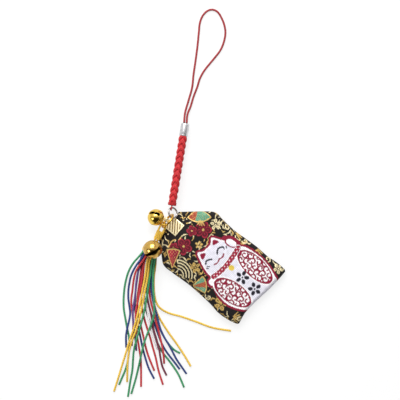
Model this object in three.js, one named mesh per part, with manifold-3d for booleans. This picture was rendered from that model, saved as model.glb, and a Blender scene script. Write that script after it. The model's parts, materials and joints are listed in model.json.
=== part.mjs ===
// Omamori charm: a brocade amulet pouch with a plaited hand strap, two bells and a cord tassel.
// Millimetres, +Z up. The charm lies on its back on a table whose top is z = 0, and the origin is
// the middle of the pouch's underside. In the pouch's own frame +Y runs to its mouth and +X is
// its width. The whole charm is turned about +Z, as it lies, at the end of the file.
import * as THREE from 'three';
import { mergeVertices } from 'three/addons/utils/BufferGeometryUtils.js';
import Module from 'manifold-3d';

const wasm = await Module();
wasm.setup();

// Gaps: between touching pieces, between threaded pieces, and above the table.
const CLEARANCE = 0.3;
const THREAD_GAP = 0.2;
const TABLE_GAP = 0.1;

// Pouch: a flat bag folded at the bottom, sewn at the sides and drawn in to a mouth at the top.
const POUCH_TURN_DEG = 50.5;
const POUCH_WIDTH = 33.3;
const POUCH_LENGTH = 53.1;
const POUCH_THICKNESS = 4.2;
const POUCH_CROWN = 0.7;
const POUCH_WALL = 0.45;
const POUCH_EDGE = 1.5;
const SHOULDER_LENGTH = 12.6;
const MOUTH_WIDTH = 12.2;
const MOUTH_THICKNESS = 1.5;
const MOUTH_HEIGHT = 1.5;
const TAPER_LENGTH = 10.5;
const FOLD_LENGTH = 3.2;
const FOLD_THICKNESS = 1.7;
const FOLD_HEIGHT = 1.7;
const FOLD_CORNER = 0.8;

// What the pouch holds: a stiffening card and a folded paper slip.
const CARD_THICKNESS = 0.8;
const CARD_MARGIN = 1.6;
const SLIP_THICKNESS = 0.6;
const SLIP_WIDTH = 22;
const SLIP_LENGTH = 34;

// Gold clamp crimped over the mouth, with a rolled eye.
const CLAMP_WIDTH = 6.3;
const CLAMP_LENGTH = 5.8;
const CLAMP_LIP = 1.9;
const CLAMP_SHEET = 0.3;
const EYE_WALL = 0.4;
const EYE_WIDTH = 1.6;
const EYE_REACH = 2.15;

// Gold ring that stands in the eye, and the silver ring that links it to the strap.
const RING_RADIUS = 3.5;
const RING_WIRE = 0.5;
const RING_LEAN_DEG = 15;
const LINK_RADIUS = 2.3;
const LINK_WIRE = 0.4;
const LINK_HEADING_DEG = 55;
const LINK_TILT_DEG = 40;
const LINK_ALONG = 0.8;
const LINK_ACROSS = 0.3;

// Hand strap: whipped end with an eye of the same thread, plaited cord, ferrule and a thin loop.
const STRAP_HEADING_DEG = -59.7;
const STRAP_EYE_RADIUS = 1.0;
const STRAP_EYE_WIRE = 0.3;
const PLAIT_RADIUS = 1.8;
const PLAIT_LENGTH = 30.3;
const STRAP_CAP_LENGTH = 1.3;
const STRAP_CAP_FLOOR = 0.6;
const FERRULE_LENGTH = 5.7;
const FERRULE_SOCKET = 2.4;
const FERRULE_MOUTH = 1.65;
const CAP_WALL = 0.3;
const LOOP_CORD_RADIUS = 0.5;
const LOOP_CORD_PITCH = 1.16;

// Bells: two half shells, a pellet and a wire loop each.
const BELL_1_RADIUS = 3.75;
const BELL_2_RADIUS = 4.2;
const BELL_WALL = 0.4;
const BELL_SEAM = 0.2;
const BELL_SLIT = 1.3;
const BELL_SLIT_HALF_DEG = 62;
const BELL_SLIT_HOLE = 0.8;
const BELL_LOOP_WIRE = 0.3;
const BELL_STEM = 0.35;
const BELL_1_HOOK_DEG = -131;
const BELL_1_YAW_DEG = -2;
const BELL_1_TILT_DEG = 33;
const PELLET_RADIUS = 1.0;

// Tassel: cords in seven columns and three layers, held by a binding and hung from the gold ring.
const TASSEL_SPLAY_DEG = 79.4;
const TASSEL_CORD_RADIUS = 0.45;
const TASSEL_COLUMNS = 7;
const TASSEL_LAYERS = 3;
const TASSEL_PITCH = 1.02;
const TASSEL_FIRST_LAYER = 1.0;
const TASSEL_FAN_DEG = -19.6;
const TASSEL_ROOT = new THREE.Vector2(-5.85, -11.83);
const BINDING_LENGTH = 2.0;
const BINDING_WALL = 0.35;
const BINDING_GAP = 0.12;
const CORD_END = 0.2;
const HANGER_BEND = new THREE.Vector3(-2.1, -4.2, 3.9);
const BELL_2_HOOK = new THREE.Vector3(-3.78, -7.38, 2.87);
const BELL_2_AXIS = new THREE.Vector3(-0.103, -0.423, 0.9);

// Facets.
const CORD_QUARTER_SIDES = 2;
const CORD_STEP_DIAMETERS = 3;
const HANGER_STEP_RADII = 1.5;
const ROUND_SIDES = 16;
const PIN_SIDES = 10;
const WIRE_SIDES = 8;
const RING_STEPS = 32;
const EYE_STEPS = 20;
const BALL_SIDES = 12;
const ARC_STEPS = 5;
const WELD = 1e-4;

// Colours.
const BROCADE = 0x2d2b2c;
const CARD = 0xcdbf9f;
const PAPER = 0xf1ece0;
const GOLD = 0xe3b94a;
const SILVER = 0xc9ccd0;
const PLAIT_RED = 0xc8283a;
const LOOP_RED = 0xa8323c;
const GREEN = 0x3c9664;
const BLUE = 0x32357a;
const PURPLE = 0x5a3d80;
const RED = 0xbe2b30;
const YELLOW = 0xf0be3c;
const WHITE = 0xf0e8ea;
const PLUM = 0x6a2038;

// Tassel cords. A slot is a column and a layer in the binding. A route's points are taken from
// the gold ring's end, along the table, and its heights from the table.
const STRANDS = [
  { name: 'strand_green_1', colour: GREEN, slot: [0, 2],
    route: [[-10.8, -13.4, 2.9], [-13.3, -16.3, 2.4], [-15.5, -20.2, 1.6], [-17, -25.5, 0.8],
      [-17.7, -31.2, 0.5], [-17.7, -36.6, 0.5], [-17, -41.1, 0.5], [-16.2, -45.6, 0.5],
      [-15.3, -50.1, 0.5], [-15.4, -56.4, 0.5], [-16.4, -62.7, 0.5], [-19.8, -71.2, 0.5]] },
  { name: 'strand_blue_1', colour: BLUE, slot: [1, 2],
    route: [[-9.7, -14.3, 3], [-12.1, -17.6, 2.7], [-14.2, -21.7, 1.8], [-15.2, -25.8, 1],
      [-15.6, -28.9, 0.6], [-15.6, -32.5, 0.5], [-15.1, -36.1, 0.5], [-14.8, -38.8, 0.6],
      [-15.2, -42, 1.2], [-16, -45.4, 1.5], [-16.6, -48.7, 1.1], [-16.6, -54.4, 0.5]] },
  { name: 'strand_red_1', colour: RED, slot: [2, 2],
    route: [[-8.8, -15, 3], [-10.8, -17.7, 2.8], [-12.2, -20.2, 2.4], [-13, -23.1, 1.8],
      [-13.5, -26.2, 1.2], [-13.8, -28.9, 0.8], [-14.2, -31.6, 0.5], [-14.3, -34.3, 0.5],
      [-13.9, -37.5, 0.5], [-13.6, -40.6, 0.5], [-13.4, -44.7, 0.5], [-13.7, -49.2, 0.5],
      [-14.1, -53.7, 0.5]] },
  { name: 'strand_yellow_1', colour: YELLOW, slot: [3, 2],
    route: [[-7.2, -16.3, 2.8], [-7.6, -19.5, 2.6], [-8.3, -24, 2.6], [-9.2, -28.5, 2.6],
      [-10, -33, 2.6], [-10.9, -37.5, 2.6], [-12, -42, 2.6], [-13.2, -46, 2.4], [-14.8, -50.5, 1.9],
      [-16.3, -55.5, 1.6], [-18, -60.9, 1.4], [-19.9, -67.2, 1], [-22.1, -74.2, 0.5]] },
  { name: 'strand_yellow_2', colour: YELLOW, slot: [4, 2],
    route: [[-6.2, -16.8, 2.8], [-6.5, -19.9, 2.6], [-7.2, -24.4, 2.6], [-8.1, -28.9, 2.6],
      [-8.9, -33.4, 2.6], [-9.8, -37.9, 2.6], [-10.9, -42.4, 2.6], [-12.1, -46.5, 2.6],
      [-13.8, -51, 2], [-15.2, -55.9, 1.6], [-15.8, -60.4, 1.6], [-16, -64.9, 1.3],
      [-16.2, -69.9, 0.5]] },
  { name: 'strand_green_2', colour: GREEN, slot: [5, 2],
    route: [[-5.1, -17.2, 2.8], [-5.4, -19.9, 2.6], [-6.1, -24, 2.6], [-6.8, -28.5, 2.6],
      [-7.5, -33, 2.6], [-8.4, -37.9, 2.6], [-9.5, -42.4, 2.6], [-10.8, -46.9, 2.6],
      [-12.1, -51.4, 2.6], [-13.1, -55.9, 2], [-13.5, -60.4, 1.3], [-13.8, -64.5, 0.8],
      [-14.7, -69.4, 0.5], [-15.8, -76.6, 0.5]] },
  { name: 'strand_green_3', colour: GREEN, slot: [6, 2],
    route: [[-4, -17.7, 2.8], [-4.4, -22.2, 2.6], [-4.4, -27.6, 2.6], [-4, -32.5, 2.6],
      [-3.9, -36.6, 2.6], [-4.1, -39.7, 2.6], [-4.8, -42.4, 2.6], [-6, -45.6, 2.6],
      [-7.4, -49.2, 2.6], [-8.5, -52.3, 2.6], [-9.5, -56.4, 2.5], [-10.4, -60.4, 1.8],
      [-11.2, -64, 1.1], [-12.3, -68.5, 0.6], [-14.3, -75.3, 0.5]] },
  { name: 'strand_purple_1', colour: PURPLE, slot: [0, 1],
    route: [[-9.6, -15.4, 1.7], [-10.7, -18.8, 1.7], [-11.6, -22.2, 1.6], [-12.1, -25.8, 1.6],
      [-12.3, -28.9, 1.5], [-12.7, -32.1, 1.5], [-13.2, -35.2, 1.5], [-13.5, -38.4, 1.55],
      [-13.5, -41.1, 1.55], [-13.2, -44.2, 1.5], [-12.8, -47.8, 1.1], [-12.3, -51.9, 0.6],
      [-12, -55.9, 0.5]] },
  { name: 'strand_red_2', colour: RED, slot: [1, 1],
    route: [[-8.5, -16.1, 1.7], [-9, -19.5, 1.65], [-9.4, -23.1, 1.6], [-9.9, -26.7, 1.6],
      [-10.7, -30.3, 1.55], [-11.3, -33.4, 1.55], [-12, -37, 1.6], [-12.3, -40.6, 1.6],
      [-12, -44.7, 1.6], [-11.6, -49.2, 1.6], [-10.8, -54.1, 1.5], [-10.1, -59.1, 0.7],
      [-9.9, -63.6, 0.5], [-9.9, -72.1, 0.5]] },
  { name: 'strand_white_1', colour: WHITE, slot: [2, 1],
    route: [[-7.6, -16.8, 1.7], [-8.1, -22.2, 1.6], [-8.5, -26.2, 1.55], [-8.5, -29.8, 1.55],
      [-8.2, -33, 1.55], [-7.3, -36.6, 1.55], [-6.7, -39.7, 1.55], [-6.1, -43.3, 1.55],
      [-5, -47.4, 1.5], [-3.8, -51.4, 1.3], [-2.4, -55.3, 0.6]] },
  { name: 'strand_plum_1', colour: PLUM, slot: [3, 1],
    route: [[-6.6, -17, 1.7], [-7.1, -22.2, 1.6], [-7.4, -26.2, 1.55], [-7.3, -29.8, 1.55],
      [-6.8, -33, 1.55], [-6, -36.6, 1.55], [-5.3, -39.7, 1.55], [-4.7, -43.3, 1.55],
      [-4, -46.9, 1.55], [-2.8, -51, 1.5], [-1.7, -55.3, 1.5], [-1.1, -59.1, 1.1],
      [-0.3, -62.9, 0.7], [1.6, -67, 0.5]] },
  { name: 'strand_red_3', colour: RED, slot: [4, 1],
    route: [[-5.5, -17.2, 1.7], [-6, -22.2, 1.6], [-6.3, -26.2, 1.55], [-6.1, -29.8, 1.55],
      [-5.6, -33, 1.55], [-4.7, -36.6, 1.55], [-3.9, -39.7, 1.55], [-3.1, -42.9, 1.55],
      [-2.2, -46, 1.55], [-1.3, -49.6, 1.55], [-0.4, -53.5, 1.55], [0.2, -57.3, 1.5],
      [0.4, -59.3, 1.2], [0.5, -61.6, 0.6]] },
  { name: 'strand_blue_2', colour: BLUE, slot: [5, 1],
    route: [[-4.4, -17.5, 1.7], [-5, -22.2, 1.6], [-5.2, -26.2, 1.55], [-5, -29.8, 1.55],
      [-4.5, -33, 1.55], [-3.6, -36.6, 1.55], [-2.7, -39.7, 1.55], [-2, -42.9, 1.55],
      [-0.9, -46.5, 1.55], [0.7, -49.9, 1.5], [2.6, -53, 1.5], [4.3, -56.2, 1.4], [6, -59.5, 1.1],
      [8.1, -62.7, 0.7], [10.6, -66.3, 0.5]] },
  { name: 'strand_yellow_3', colour: YELLOW, slot: [6, 1],
    route: [[-3.4, -17.7, 1.7], [-4, -22.2, 1.6], [-4.1, -26.2, 1.55], [-3.9, -29.8, 1.55],
      [-3.3, -33, 1.55], [-2.2, -35.5, 1.5], [-0.2, -37.4, 1.1], [3.2, -39.1, 0.6],
      [7.7, -40.3, 0.5], [14.7, -42.7, 0.5], [22.1, -45.4, 0.5], [30.6, -46.9, 0.5]] },
  { name: 'strand_blue_3', colour: BLUE, slot: [0, 0],
    route: [[-10.4, -15.9, 0.6], [-11.2, -20.4, 0.5], [-11.8, -24.4, 0.5], [-12.3, -28.5, 0.5],
      [-12.6, -32.5, 0.5], [-12.6, -36.6, 0.5], [-12.1, -40.6, 0.5], [-11.2, -45.1, 0.5],
      [-10.2, -49.6, 0.5], [-9.3, -54.1, 0.5], [-8.1, -58.6, 0.5], [-6.5, -63.6, 0.5],
      [-4, -68.5, 0.5]] },
  { name: 'strand_red_4', colour: RED, slot: [1, 0],
    route: [[-9.4, -16.8, 0.6], [-10, -20.8, 0.5], [-10.6, -25.3, 0.5], [-11.2, -29.4, 0.5],
      [-11.6, -33, 0.5], [-11.4, -37, 0.5], [-10.8, -41.1, 0.5], [-9.9, -45.1, 0.5],
      [-8.9, -49.2, 0.5], [-8.1, -53, 0.5], [-6.6, -58.2, 0.5], [-3.9, -64.9, 0.5]] },
  { name: 'strand_red_5', colour: RED, slot: [2, 0],
    route: [[-8.4, -17.2, 0.6], [-8.9, -20.8, 0.5], [-9.4, -25.3, 0.5], [-9.7, -29.4, 0.5],
      [-9.8, -33.4, 0.5], [-9.3, -37.5, 0.5], [-8.4, -41.5, 0.5], [-7.2, -45.6, 0.5],
      [-5.9, -49.6, 0.5], [-4.8, -53.7, 0.5], [-3.4, -58.6, 0.5], [-2, -64.9, 0.5],
      [0, -71.2, 0.5]] },
  { name: 'strand_green_4', colour: GREEN, slot: [3, 0],
    route: [[-7.3, -17.5, 0.6], [-7.7, -21.3, 0.5], [-8.2, -25.3, 0.5], [-8.5, -29.4, 0.5],
      [-8.3, -33.4, 0.5], [-7.6, -37.5, 0.5], [-6.4, -41.5, 0.5], [-5, -45.6, 0.5],
      [-3.6, -49.6, 0.5], [-2.1, -53.2, 0.5], [-0.2, -56.6, 0.5], [2.3, -59.8, 0.5],
      [4.6, -62.9, 0.5], [7, -66.7, 0.5], [9.5, -72.4, 0.5]] },
  { name: 'strand_blue_4', colour: BLUE, slot: [4, 0],
    route: [[-6.2, -17.7, 0.6], [-6.7, -21.7, 0.5], [-7.1, -25.8, 0.5], [-7.2, -29.8, 0.5],
      [-6.8, -33.7, 0.5], [-5.8, -37.5, 0.5], [-4.7, -41.3, 0.5], [-3.4, -45.1, 0.5],
      [-2.1, -48.7, 0.5], [-0.7, -52.3, 0.5], [1, -55.5, 0.5], [2.9, -58.2, 0.5], [4.9, -60.7, 0.5],
      [7.5, -64.2, 0.5]] },
  { name: 'strand_green_5', colour: GREEN, slot: [5, 0],
    route: [[-5.1, -17.9, 0.6], [-5.6, -21.7, 0.5], [-5.9, -25.8, 0.5], [-6, -29.8, 0.5],
      [-5.5, -33.7, 0.5], [-4.5, -37.5, 0.5], [-3.2, -41.3, 0.5], [-1.9, -44.7, 0.5],
      [-0.4, -48.1, 0.5], [1.4, -51.2, 0.5], [3.4, -53.9, 0.5], [5.5, -55.8, 0.5],
      [7.7, -57, 0.5]] },
  { name: 'strand_yellow_4', colour: YELLOW, slot: [6, 0],
    route: [[-4, -18.1, 0.6], [-4.5, -22.2, 0.5], [-4.8, -26.2, 0.5], [-4.7, -29.8, 0.5],
      [-4.2, -33.4, 0.5], [-3.5, -36.6, 0.5], [-2.4, -39.5, 0.5], [-1.1, -42, 0.5],
      [0.7, -44.9, 0.5], [2.8, -48.1, 0.5], [5.2, -51.4, 0.5], [7.7, -55, 0.5], [10, -58.6, 0.5],
      [12.5, -62.9, 0.5]] },
];

// Loop cord's free run, from the ferrule's mouth: across the strap, along it, and the height
// above the table.
const LOOP_ROUTE = [
  [-0.9, 4.8, 1.2], [-0.2, 11, 0.55], [0.4, 16.7, 0.55], [0.1, 22.4, 0.55], [0, 28.5, 0.55],
  [-0.2, 35.4, 0.55], [-0.6, 41.9, 0.55], [-0.8, 45.7, 0.55], [-0.2, 48.9, 0.55],
  [1.5, 51.6, 0.55], [3.8, 52.7, 0.55], [6.2, 52.1, 0.55], [8.6, 49.5, 0.55], [10.4, 46.3, 0.55],
  [11.3, 43.1, 0.55], [11.2, 39, 0.55], [10.3, 35.3, 0.55], [8.6, 32, 0.55], [6.6, 28.6, 0.55],
  [4.5, 24.8, 0.55], [3.2, 21.1, 0.55], [2.7, 17.5, 0.55], [1.7, 12.6, 0.55], [1.1, 8.1, 0.7],
  [0.3, 4.2, 1.3],
];

const TOP = POUCH_LENGTH / 2;
const HALF_WIDTH = POUCH_WIDTH / 2;
const UP = new THREE.Vector3(0, 0, 1);

const radians = THREE.MathUtils.degToRad;

function finish(colour, roughness, metalness) {
  return new THREE.MeshStandardMaterial({ color: colour, roughness, metalness });
}

function piece(name, geometry, material) {
  const mesh = new THREE.Mesh(geometry, material);
  mesh.name = name;
  return mesh;
}

// A closed geometry as a solid that can be joined and cut.
function toSolid(geometry) {
  const bare = geometry.clone();
  bare.deleteAttribute('normal');
  bare.deleteAttribute('uv');
  const merged = mergeVertices(bare, WELD);
  const triangles = [];
  for (let i = 0; i < merged.index.count; i += 3) {
    const [a, b, c] = [0, 1, 2].map((k) => merged.index.getX(i + k));
    if (a !== b && b !== c && c !== a) triangles.push(a, b, c);
  }
  return new wasm.Manifold(new wasm.Mesh({
    numProp: 3,
    vertProperties: merged.attributes.position.array,
    triVerts: new Uint32Array(triangles),
  }));
}

function toGeometry(body) {
  const { vertProperties, triVerts } = body.getMesh();
  const geometry = new THREE.BufferGeometry();
  geometry.setAttribute('position', new THREE.BufferAttribute(vertProperties, 3));
  geometry.setIndex(new THREE.BufferAttribute(triVerts, 1));
  geometry.computeVertexNormals();
  return geometry;
}

function join(...geometries) {
  return toGeometry(geometries.map(toSolid).reduce((whole, part) => whole.add(part)));
}

function cut(geometry, ...tools) {
  const whole = toSolid(geometry);
  return toGeometry(tools.map(toSolid).reduce((rest, tool) => rest.subtract(tool), whole));
}

// A turned solid about +Z from a profile of [radius, height] points.
function turned(profile, sides = ROUND_SIDES) {
  const points = profile.map(([radius, height]) => new THREE.Vector2(radius, height));
  return new THREE.LatheGeometry(points, sides).rotateX(Math.PI / 2);
}

// A straight rod along +Z between two heights.
function rod(radius, from, to, sides = ROUND_SIDES) {
  return turned([[0, from], [radius, from], [radius, to], [0, to]], sides);
}

function block(x0, x1, y0, y1, z0, z1) {
  const box = new THREE.BoxGeometry(x1 - x0, y1 - y0, z1 - z0);
  return box.translate((x0 + x1) / 2, (y0 + y1) / 2, (z0 + z1) / 2);
}

// A round cord along a curve through its points.
function cord(points, radius, step = CORD_STEP_DIAMETERS * 2 * radius) {
  const curve = new THREE.CatmullRomCurve3(points, false, 'centripetal');
  const section = new THREE.Shape();
  section.absarc(0, 0, radius, 0, 2 * Math.PI, false);
  return new THREE.ExtrudeGeometry(section, {
    extrudePath: curve,
    steps: Math.max(4, Math.round(curve.getLength() / step)),
    curveSegments: 2 * CORD_QUARTER_SIDES,
    bevelEnabled: false,
  });
}

// A group whose +Z is along an axis and whose +X is as near as it can be to a hint.
function alongAxis(origin, axis, hint) {
  const z = axis.clone().normalize();
  const x = hint.clone().addScaledVector(z, -hint.dot(z)).normalize();
  const y = new THREE.Vector3().crossVectors(z, x);
  const group = new THREE.Group();
  group.quaternion.setFromRotationMatrix(new THREE.Matrix4().makeBasis(x, y, z));
  group.position.copy(origin);
  return group;
}

// Half width, underside, thickness and crown of the pouch at a place along its length.
function pouchSection(y) {
  const towardMouth = THREE.MathUtils.clamp((y - (TOP - TAPER_LENGTH)) / TAPER_LENGTH, 0, 1);
  const alongShoulder = THREE.MathUtils.clamp((y - (TOP - SHOULDER_LENGTH)) / SHOULDER_LENGTH, 0, 1);
  const fromFold = THREE.MathUtils.clamp((y + TOP) / FOLD_LENGTH, 0, 1);
  const fold = Math.sqrt(1 - (1 - fromFold) ** 2);
  const low = (1 - fold) * (FOLD_HEIGHT - FOLD_THICKNESS / 2)
    + towardMouth * (MOUTH_HEIGHT - MOUTH_THICKNESS / 2);
  const full = THREE.MathUtils.lerp(FOLD_THICKNESS, POUCH_THICKNESS, fold);
  const thickness = THREE.MathUtils.lerp(full, MOUTH_THICKNESS, towardMouth);
  const half = THREE.MathUtils.lerp(HALF_WIDTH, MOUTH_WIDTH / 2, alongShoulder)
    - FOLD_CORNER * (1 - fold);
  return { half, low, thickness, crown: POUCH_CROWN * fold * (1 - towardMouth) };
}

// One cross-section ring of the pouch, drawn in by an inset on every side.
function pouchRing(y, inset) {
  const section = pouchSection(y);
  const half = section.half - inset;
  const low = section.low + inset;
  const tall = section.thickness - 2 * inset;
  const edge = Math.min(POUCH_EDGE, tall * 0.45);
  const side = (sign) => [
    [sign * (half - 0.3 * edge), low + 0.2 * tall],
    [sign * half, low + 0.5 * tall],
    [sign * (half - 0.3 * edge), low + 0.8 * tall],
  ];
  const ring = [
    [-half + edge, low], [0, low], [half - edge, low],
    ...side(1),
    [half - edge, low + tall], [half / 2, low + tall + 0.75 * section.crown],
    [0, low + tall + section.crown], [-half / 2, low + tall + 0.75 * section.crown],
    [-half + edge, low + tall],
    ...side(-1).reverse(),
  ];
  return ring.map(([x, z]) => [x, y, z]);
}

// The bag: an outer skin and an inner skin that meet round the mouth.
function pouchShell() {
  const foldSteps = [0, 0.12, 0.35, 0.65, 1].map((share) => -TOP + share * FOLD_LENGTH);
  const innerFold = [0.4, 0.7, 1].map((share) => -TOP + share * FOLD_LENGTH);
  const body = [-TOP / 2, 0, TOP / 4];
  const shoulder = [SHOULDER_LENGTH, TAPER_LENGTH, TAPER_LENGTH / 2, 0].map((back) => TOP - back);
  const outer = [...foldSteps, ...body, ...shoulder].map((y) => pouchRing(y, 0));
  const inner = [...innerFold, ...body, ...shoulder].map((y) => pouchRing(y, POUCH_WALL));
  const rings = [...outer, ...inner.reverse()];
  const count = rings[0].length;
  const index = [];
  for (let r = 0; r < rings.length - 1; r += 1) {
    for (let i = 0; i < count; i += 1) {
      const a = r * count + i;
      const b = r * count + (i + 1) % count;
      index.push(a, b, a + count, b, b + count, a + count);
    }
  }
  const last = (rings.length - 1) * count;
  for (let i = 1; i < count - 1; i += 1) {
    index.push(0, i + 1, i);
    index.push(last, last + i, last + i + 1);
  }
  const geometry = new THREE.BufferGeometry();
  geometry.setAttribute('position', new THREE.Float32BufferAttribute(rings.flat(2), 3));
  geometry.setIndex(index.reverse());
  geometry.computeVertexNormals();
  return geometry;
}

// A flat sheet of the pouch's outline, kept inside it by a margin.
function innerCard() {
  const half = HALF_WIDTH - POUCH_WALL - CARD_MARGIN;
  const bottom = -TOP + FOLD_LENGTH;
  const corner = TOP - SHOULDER_LENGTH - CARD_MARGIN;
  const top = TOP - TAPER_LENGTH;
  const slope = (HALF_WIDTH - MOUTH_WIDTH / 2) / SHOULDER_LENGTH;
  const topHalf = half - (top - corner) * slope;
  const outline = new THREE.Shape([
    new THREE.Vector2(-half, bottom), new THREE.Vector2(half, bottom),
    new THREE.Vector2(half, corner), new THREE.Vector2(topHalf, top),
    new THREE.Vector2(-topHalf, top), new THREE.Vector2(-half, corner),
  ]);
  return new THREE.ExtrudeGeometry(outline, { depth: CARD_THICKNESS, bevelEnabled: false });
}

// The clamp: one strip bent over the mouth, a rolled eye and the tongue that carries it.
function topClamp() {
  const face = (y) => {
    const section = pouchSection(y);
    return section.low + section.thickness + section.crown + CLEARANCE / 2;
  };
  const back = (y) => pouchSection(y).low - CLEARANCE / 2;
  const start = TOP - CLAMP_LENGTH;
  const lip = TOP - CLAMP_LIP;
  const web = TOP + CLEARANCE / 2;
  const outline = new THREE.Shape([
    new THREE.Vector2(start, face(start)), new THREE.Vector2(web, face(TOP)),
    new THREE.Vector2(web, back(TOP)), new THREE.Vector2(lip, back(lip)),
    new THREE.Vector2(lip, back(lip) - CLAMP_SHEET),
    new THREE.Vector2(web + CLAMP_SHEET, back(TOP) - CLAMP_SHEET),
    new THREE.Vector2(web + CLAMP_SHEET, face(TOP) + CLAMP_SHEET),
    new THREE.Vector2(start, face(start) + CLAMP_SHEET),
  ]);
  const strip = new THREE.ExtrudeGeometry(outline, { depth: CLAMP_WIDTH, bevelEnabled: false });
  strip.translate(0, 0, -CLAMP_WIDTH / 2);
  strip.applyMatrix4(new THREE.Matrix4().makeBasis(
    new THREE.Vector3(0, 1, 0), UP, new THREE.Vector3(1, 0, 0)));
  const bore = RING_WIRE + CLEARANCE;
  const eye = turned([
    [bore, -EYE_WIDTH / 2], [bore + EYE_WALL, -EYE_WIDTH / 2],
    [bore + EYE_WALL, EYE_WIDTH / 2], [bore, EYE_WIDTH / 2], [bore, -EYE_WIDTH / 2],
  ]);
  eye.rotateY(Math.PI / 2);
  eye.translate(eyeCentre.x, eyeCentre.y, eyeCentre.z);
  const tongue = block(-EYE_WIDTH / 2, EYE_WIDTH / 2, web + CLAMP_SHEET / 2,
    TOP + EYE_REACH - bore - EYE_WALL / 2, MOUTH_HEIGHT - CLAMP_SHEET, MOUTH_HEIGHT + CLAMP_SHEET);
  return join(strip, tongue, eye);
}

// Gold ring: its wire runs through the eye at its lowest point and it leans back over the pouch.
const ringLean = radians(RING_LEAN_DEG);
const ringUp = new THREE.Vector3(0, -Math.sin(ringLean), Math.cos(ringLean));
const eyeCentre = new THREE.Vector3(0, TOP + EYE_REACH, MOUTH_HEIGHT);
const ringCentre = eyeCentre.clone().addScaledVector(ringUp, RING_RADIUS);

function ringPoint(degrees) {
  return ringCentre.clone()
    .add(new THREE.Vector3(RING_RADIUS * Math.cos(radians(degrees)), 0, 0))
    .addScaledVector(ringUp, RING_RADIUS * Math.sin(radians(degrees)));
}

function ringTangent(degrees) {
  return new THREE.Vector3(-Math.sin(radians(degrees)), 0, 0)
    .addScaledVector(ringUp, Math.cos(radians(degrees)));
}

// A closed wire ring in the XY plane.
function wireRing(radius, wire, steps = RING_STEPS) {
  return new THREE.TorusGeometry(radius, wire, WIRE_SIDES, steps);
}

function goldRing() {
  const across = new THREE.Vector3(1, 0, 0);
  const holder = alongAxis(ringCentre, across.clone().cross(ringUp), across);
  holder.add(piece('gold_ring', wireRing(RING_RADIUS, RING_WIRE), finish(GOLD, 0.28, 1)));
  return holder;
}

// Silver ring: round the gold ring's right end, tilted down over the pouch's shoulder.
const linkTurn = radians(LINK_HEADING_DEG);
const linkAlong = new THREE.Vector3(Math.cos(linkTurn), Math.sin(linkTurn), 0);
const linkAcross = new THREE.Vector3(-linkAlong.y, linkAlong.x, 0);
const linkCentre = ringPoint(0)
  .addScaledVector(linkAlong, LINK_ALONG)
  .addScaledVector(linkAcross, -LINK_ACROSS);
const strapHook = linkCentre.clone().addScaledVector(linkAlong, LINK_RADIUS);

function silverRing() {
  const normal = UP.clone().applyAxisAngle(linkAlong, radians(LINK_TILT_DEG));
  const holder = alongAxis(linkCentre, normal, linkAlong);
  holder.add(piece('silver_ring', wireRing(LINK_RADIUS, LINK_WIRE), finish(SILVER, 0.25, 1)));
  return holder;
}

// Strap, drawn along +Y from the hook and then laid down to the table. Its parts are turned
// about that line.
const capRadius = PLAIT_RADIUS + CAP_WALL / 2;
const plugRadius = capRadius - CAP_WALL - CLEARANCE;
const capStart = STRAP_EYE_RADIUS + STRAP_EYE_WIRE / 2;
const plaitStart = capStart + STRAP_CAP_LENGTH;
const plaitEnd = plaitStart + PLAIT_LENGTH;
const ferruleEnd = plaitEnd + FERRULE_LENGTH;
const strapDip = Math.asin((strapHook.z - capRadius - TABLE_GAP) / ferruleEnd);

function alongStrap(geometry) {
  return geometry.rotateX(-Math.PI / 2);
}

function strapEndCap() {
  const inner = capRadius - CAP_WALL;
  const cup = turned([
    [0, capStart], [capRadius - CAP_WALL, capStart], [capRadius, capStart + CAP_WALL],
    [capRadius, plaitStart - CLEARANCE], [inner, plaitStart - CLEARANCE],
    [inner, capStart + STRAP_CAP_FLOOR], [0, capStart + STRAP_CAP_FLOOR],
  ]);
  const eye = wireRing(STRAP_EYE_RADIUS, STRAP_EYE_WIRE, EYE_STEPS).rotateY(Math.PI / 2);
  return alongStrap(join(cup, eye));
}

function strapPlait() {
  return alongStrap(turned([
    [0, capStart + STRAP_CAP_FLOOR + CLEARANCE], [plugRadius, capStart + STRAP_CAP_FLOOR + CLEARANCE],
    [plugRadius, plaitStart], [PLAIT_RADIUS, plaitStart], [PLAIT_RADIUS, plaitEnd - CLEARANCE],
    [plugRadius, plaitEnd - CLEARANCE], [plugRadius, plaitEnd + FERRULE_SOCKET],
    [0, plaitEnd + FERRULE_SOCKET],
  ]));
}

function strapFerrule() {
  const inner = capRadius - CAP_WALL;
  const round = capRadius - FERRULE_MOUTH;
  return alongStrap(turned([
    [inner, plaitEnd], [capRadius, plaitEnd], [capRadius, ferruleEnd - 2 * round],
    [capRadius - 0.3 * round, ferruleEnd - 0.6 * round], [FERRULE_MOUTH, ferruleEnd],
    [FERRULE_MOUTH, ferruleEnd - CAP_WALL], [inner, ferruleEnd - 2 * round - CAP_WALL],
    [inner, plaitEnd],
  ]));
}

// The loop leaves the ferrule's mouth as two runs side by side and lies flat on the table.
function loopCord(strap) {
  const start = ferruleEnd + CLEARANCE;
  const toStrap = (x, y, z) => strap.worldToLocal(new THREE.Vector3(x, y, z));
  const heading = radians(STRAP_HEADING_DEG);
  const mouth = strap.localToWorld(new THREE.Vector3(0, ferruleEnd, 0));
  const onTable = ([across, along, height]) => toStrap(
    mouth.x + across * Math.cos(heading) - along * Math.sin(heading),
    mouth.y + across * Math.sin(heading) + along * Math.cos(heading),
    height);
  const half = LOOP_CORD_PITCH / 2;
  const points = [
    new THREE.Vector3(-half, start, 0),
    ...LOOP_ROUTE.map(onTable),
    new THREE.Vector3(half, start, 0),
  ];
  return cord(points, LOOP_CORD_RADIUS);
}

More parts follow.
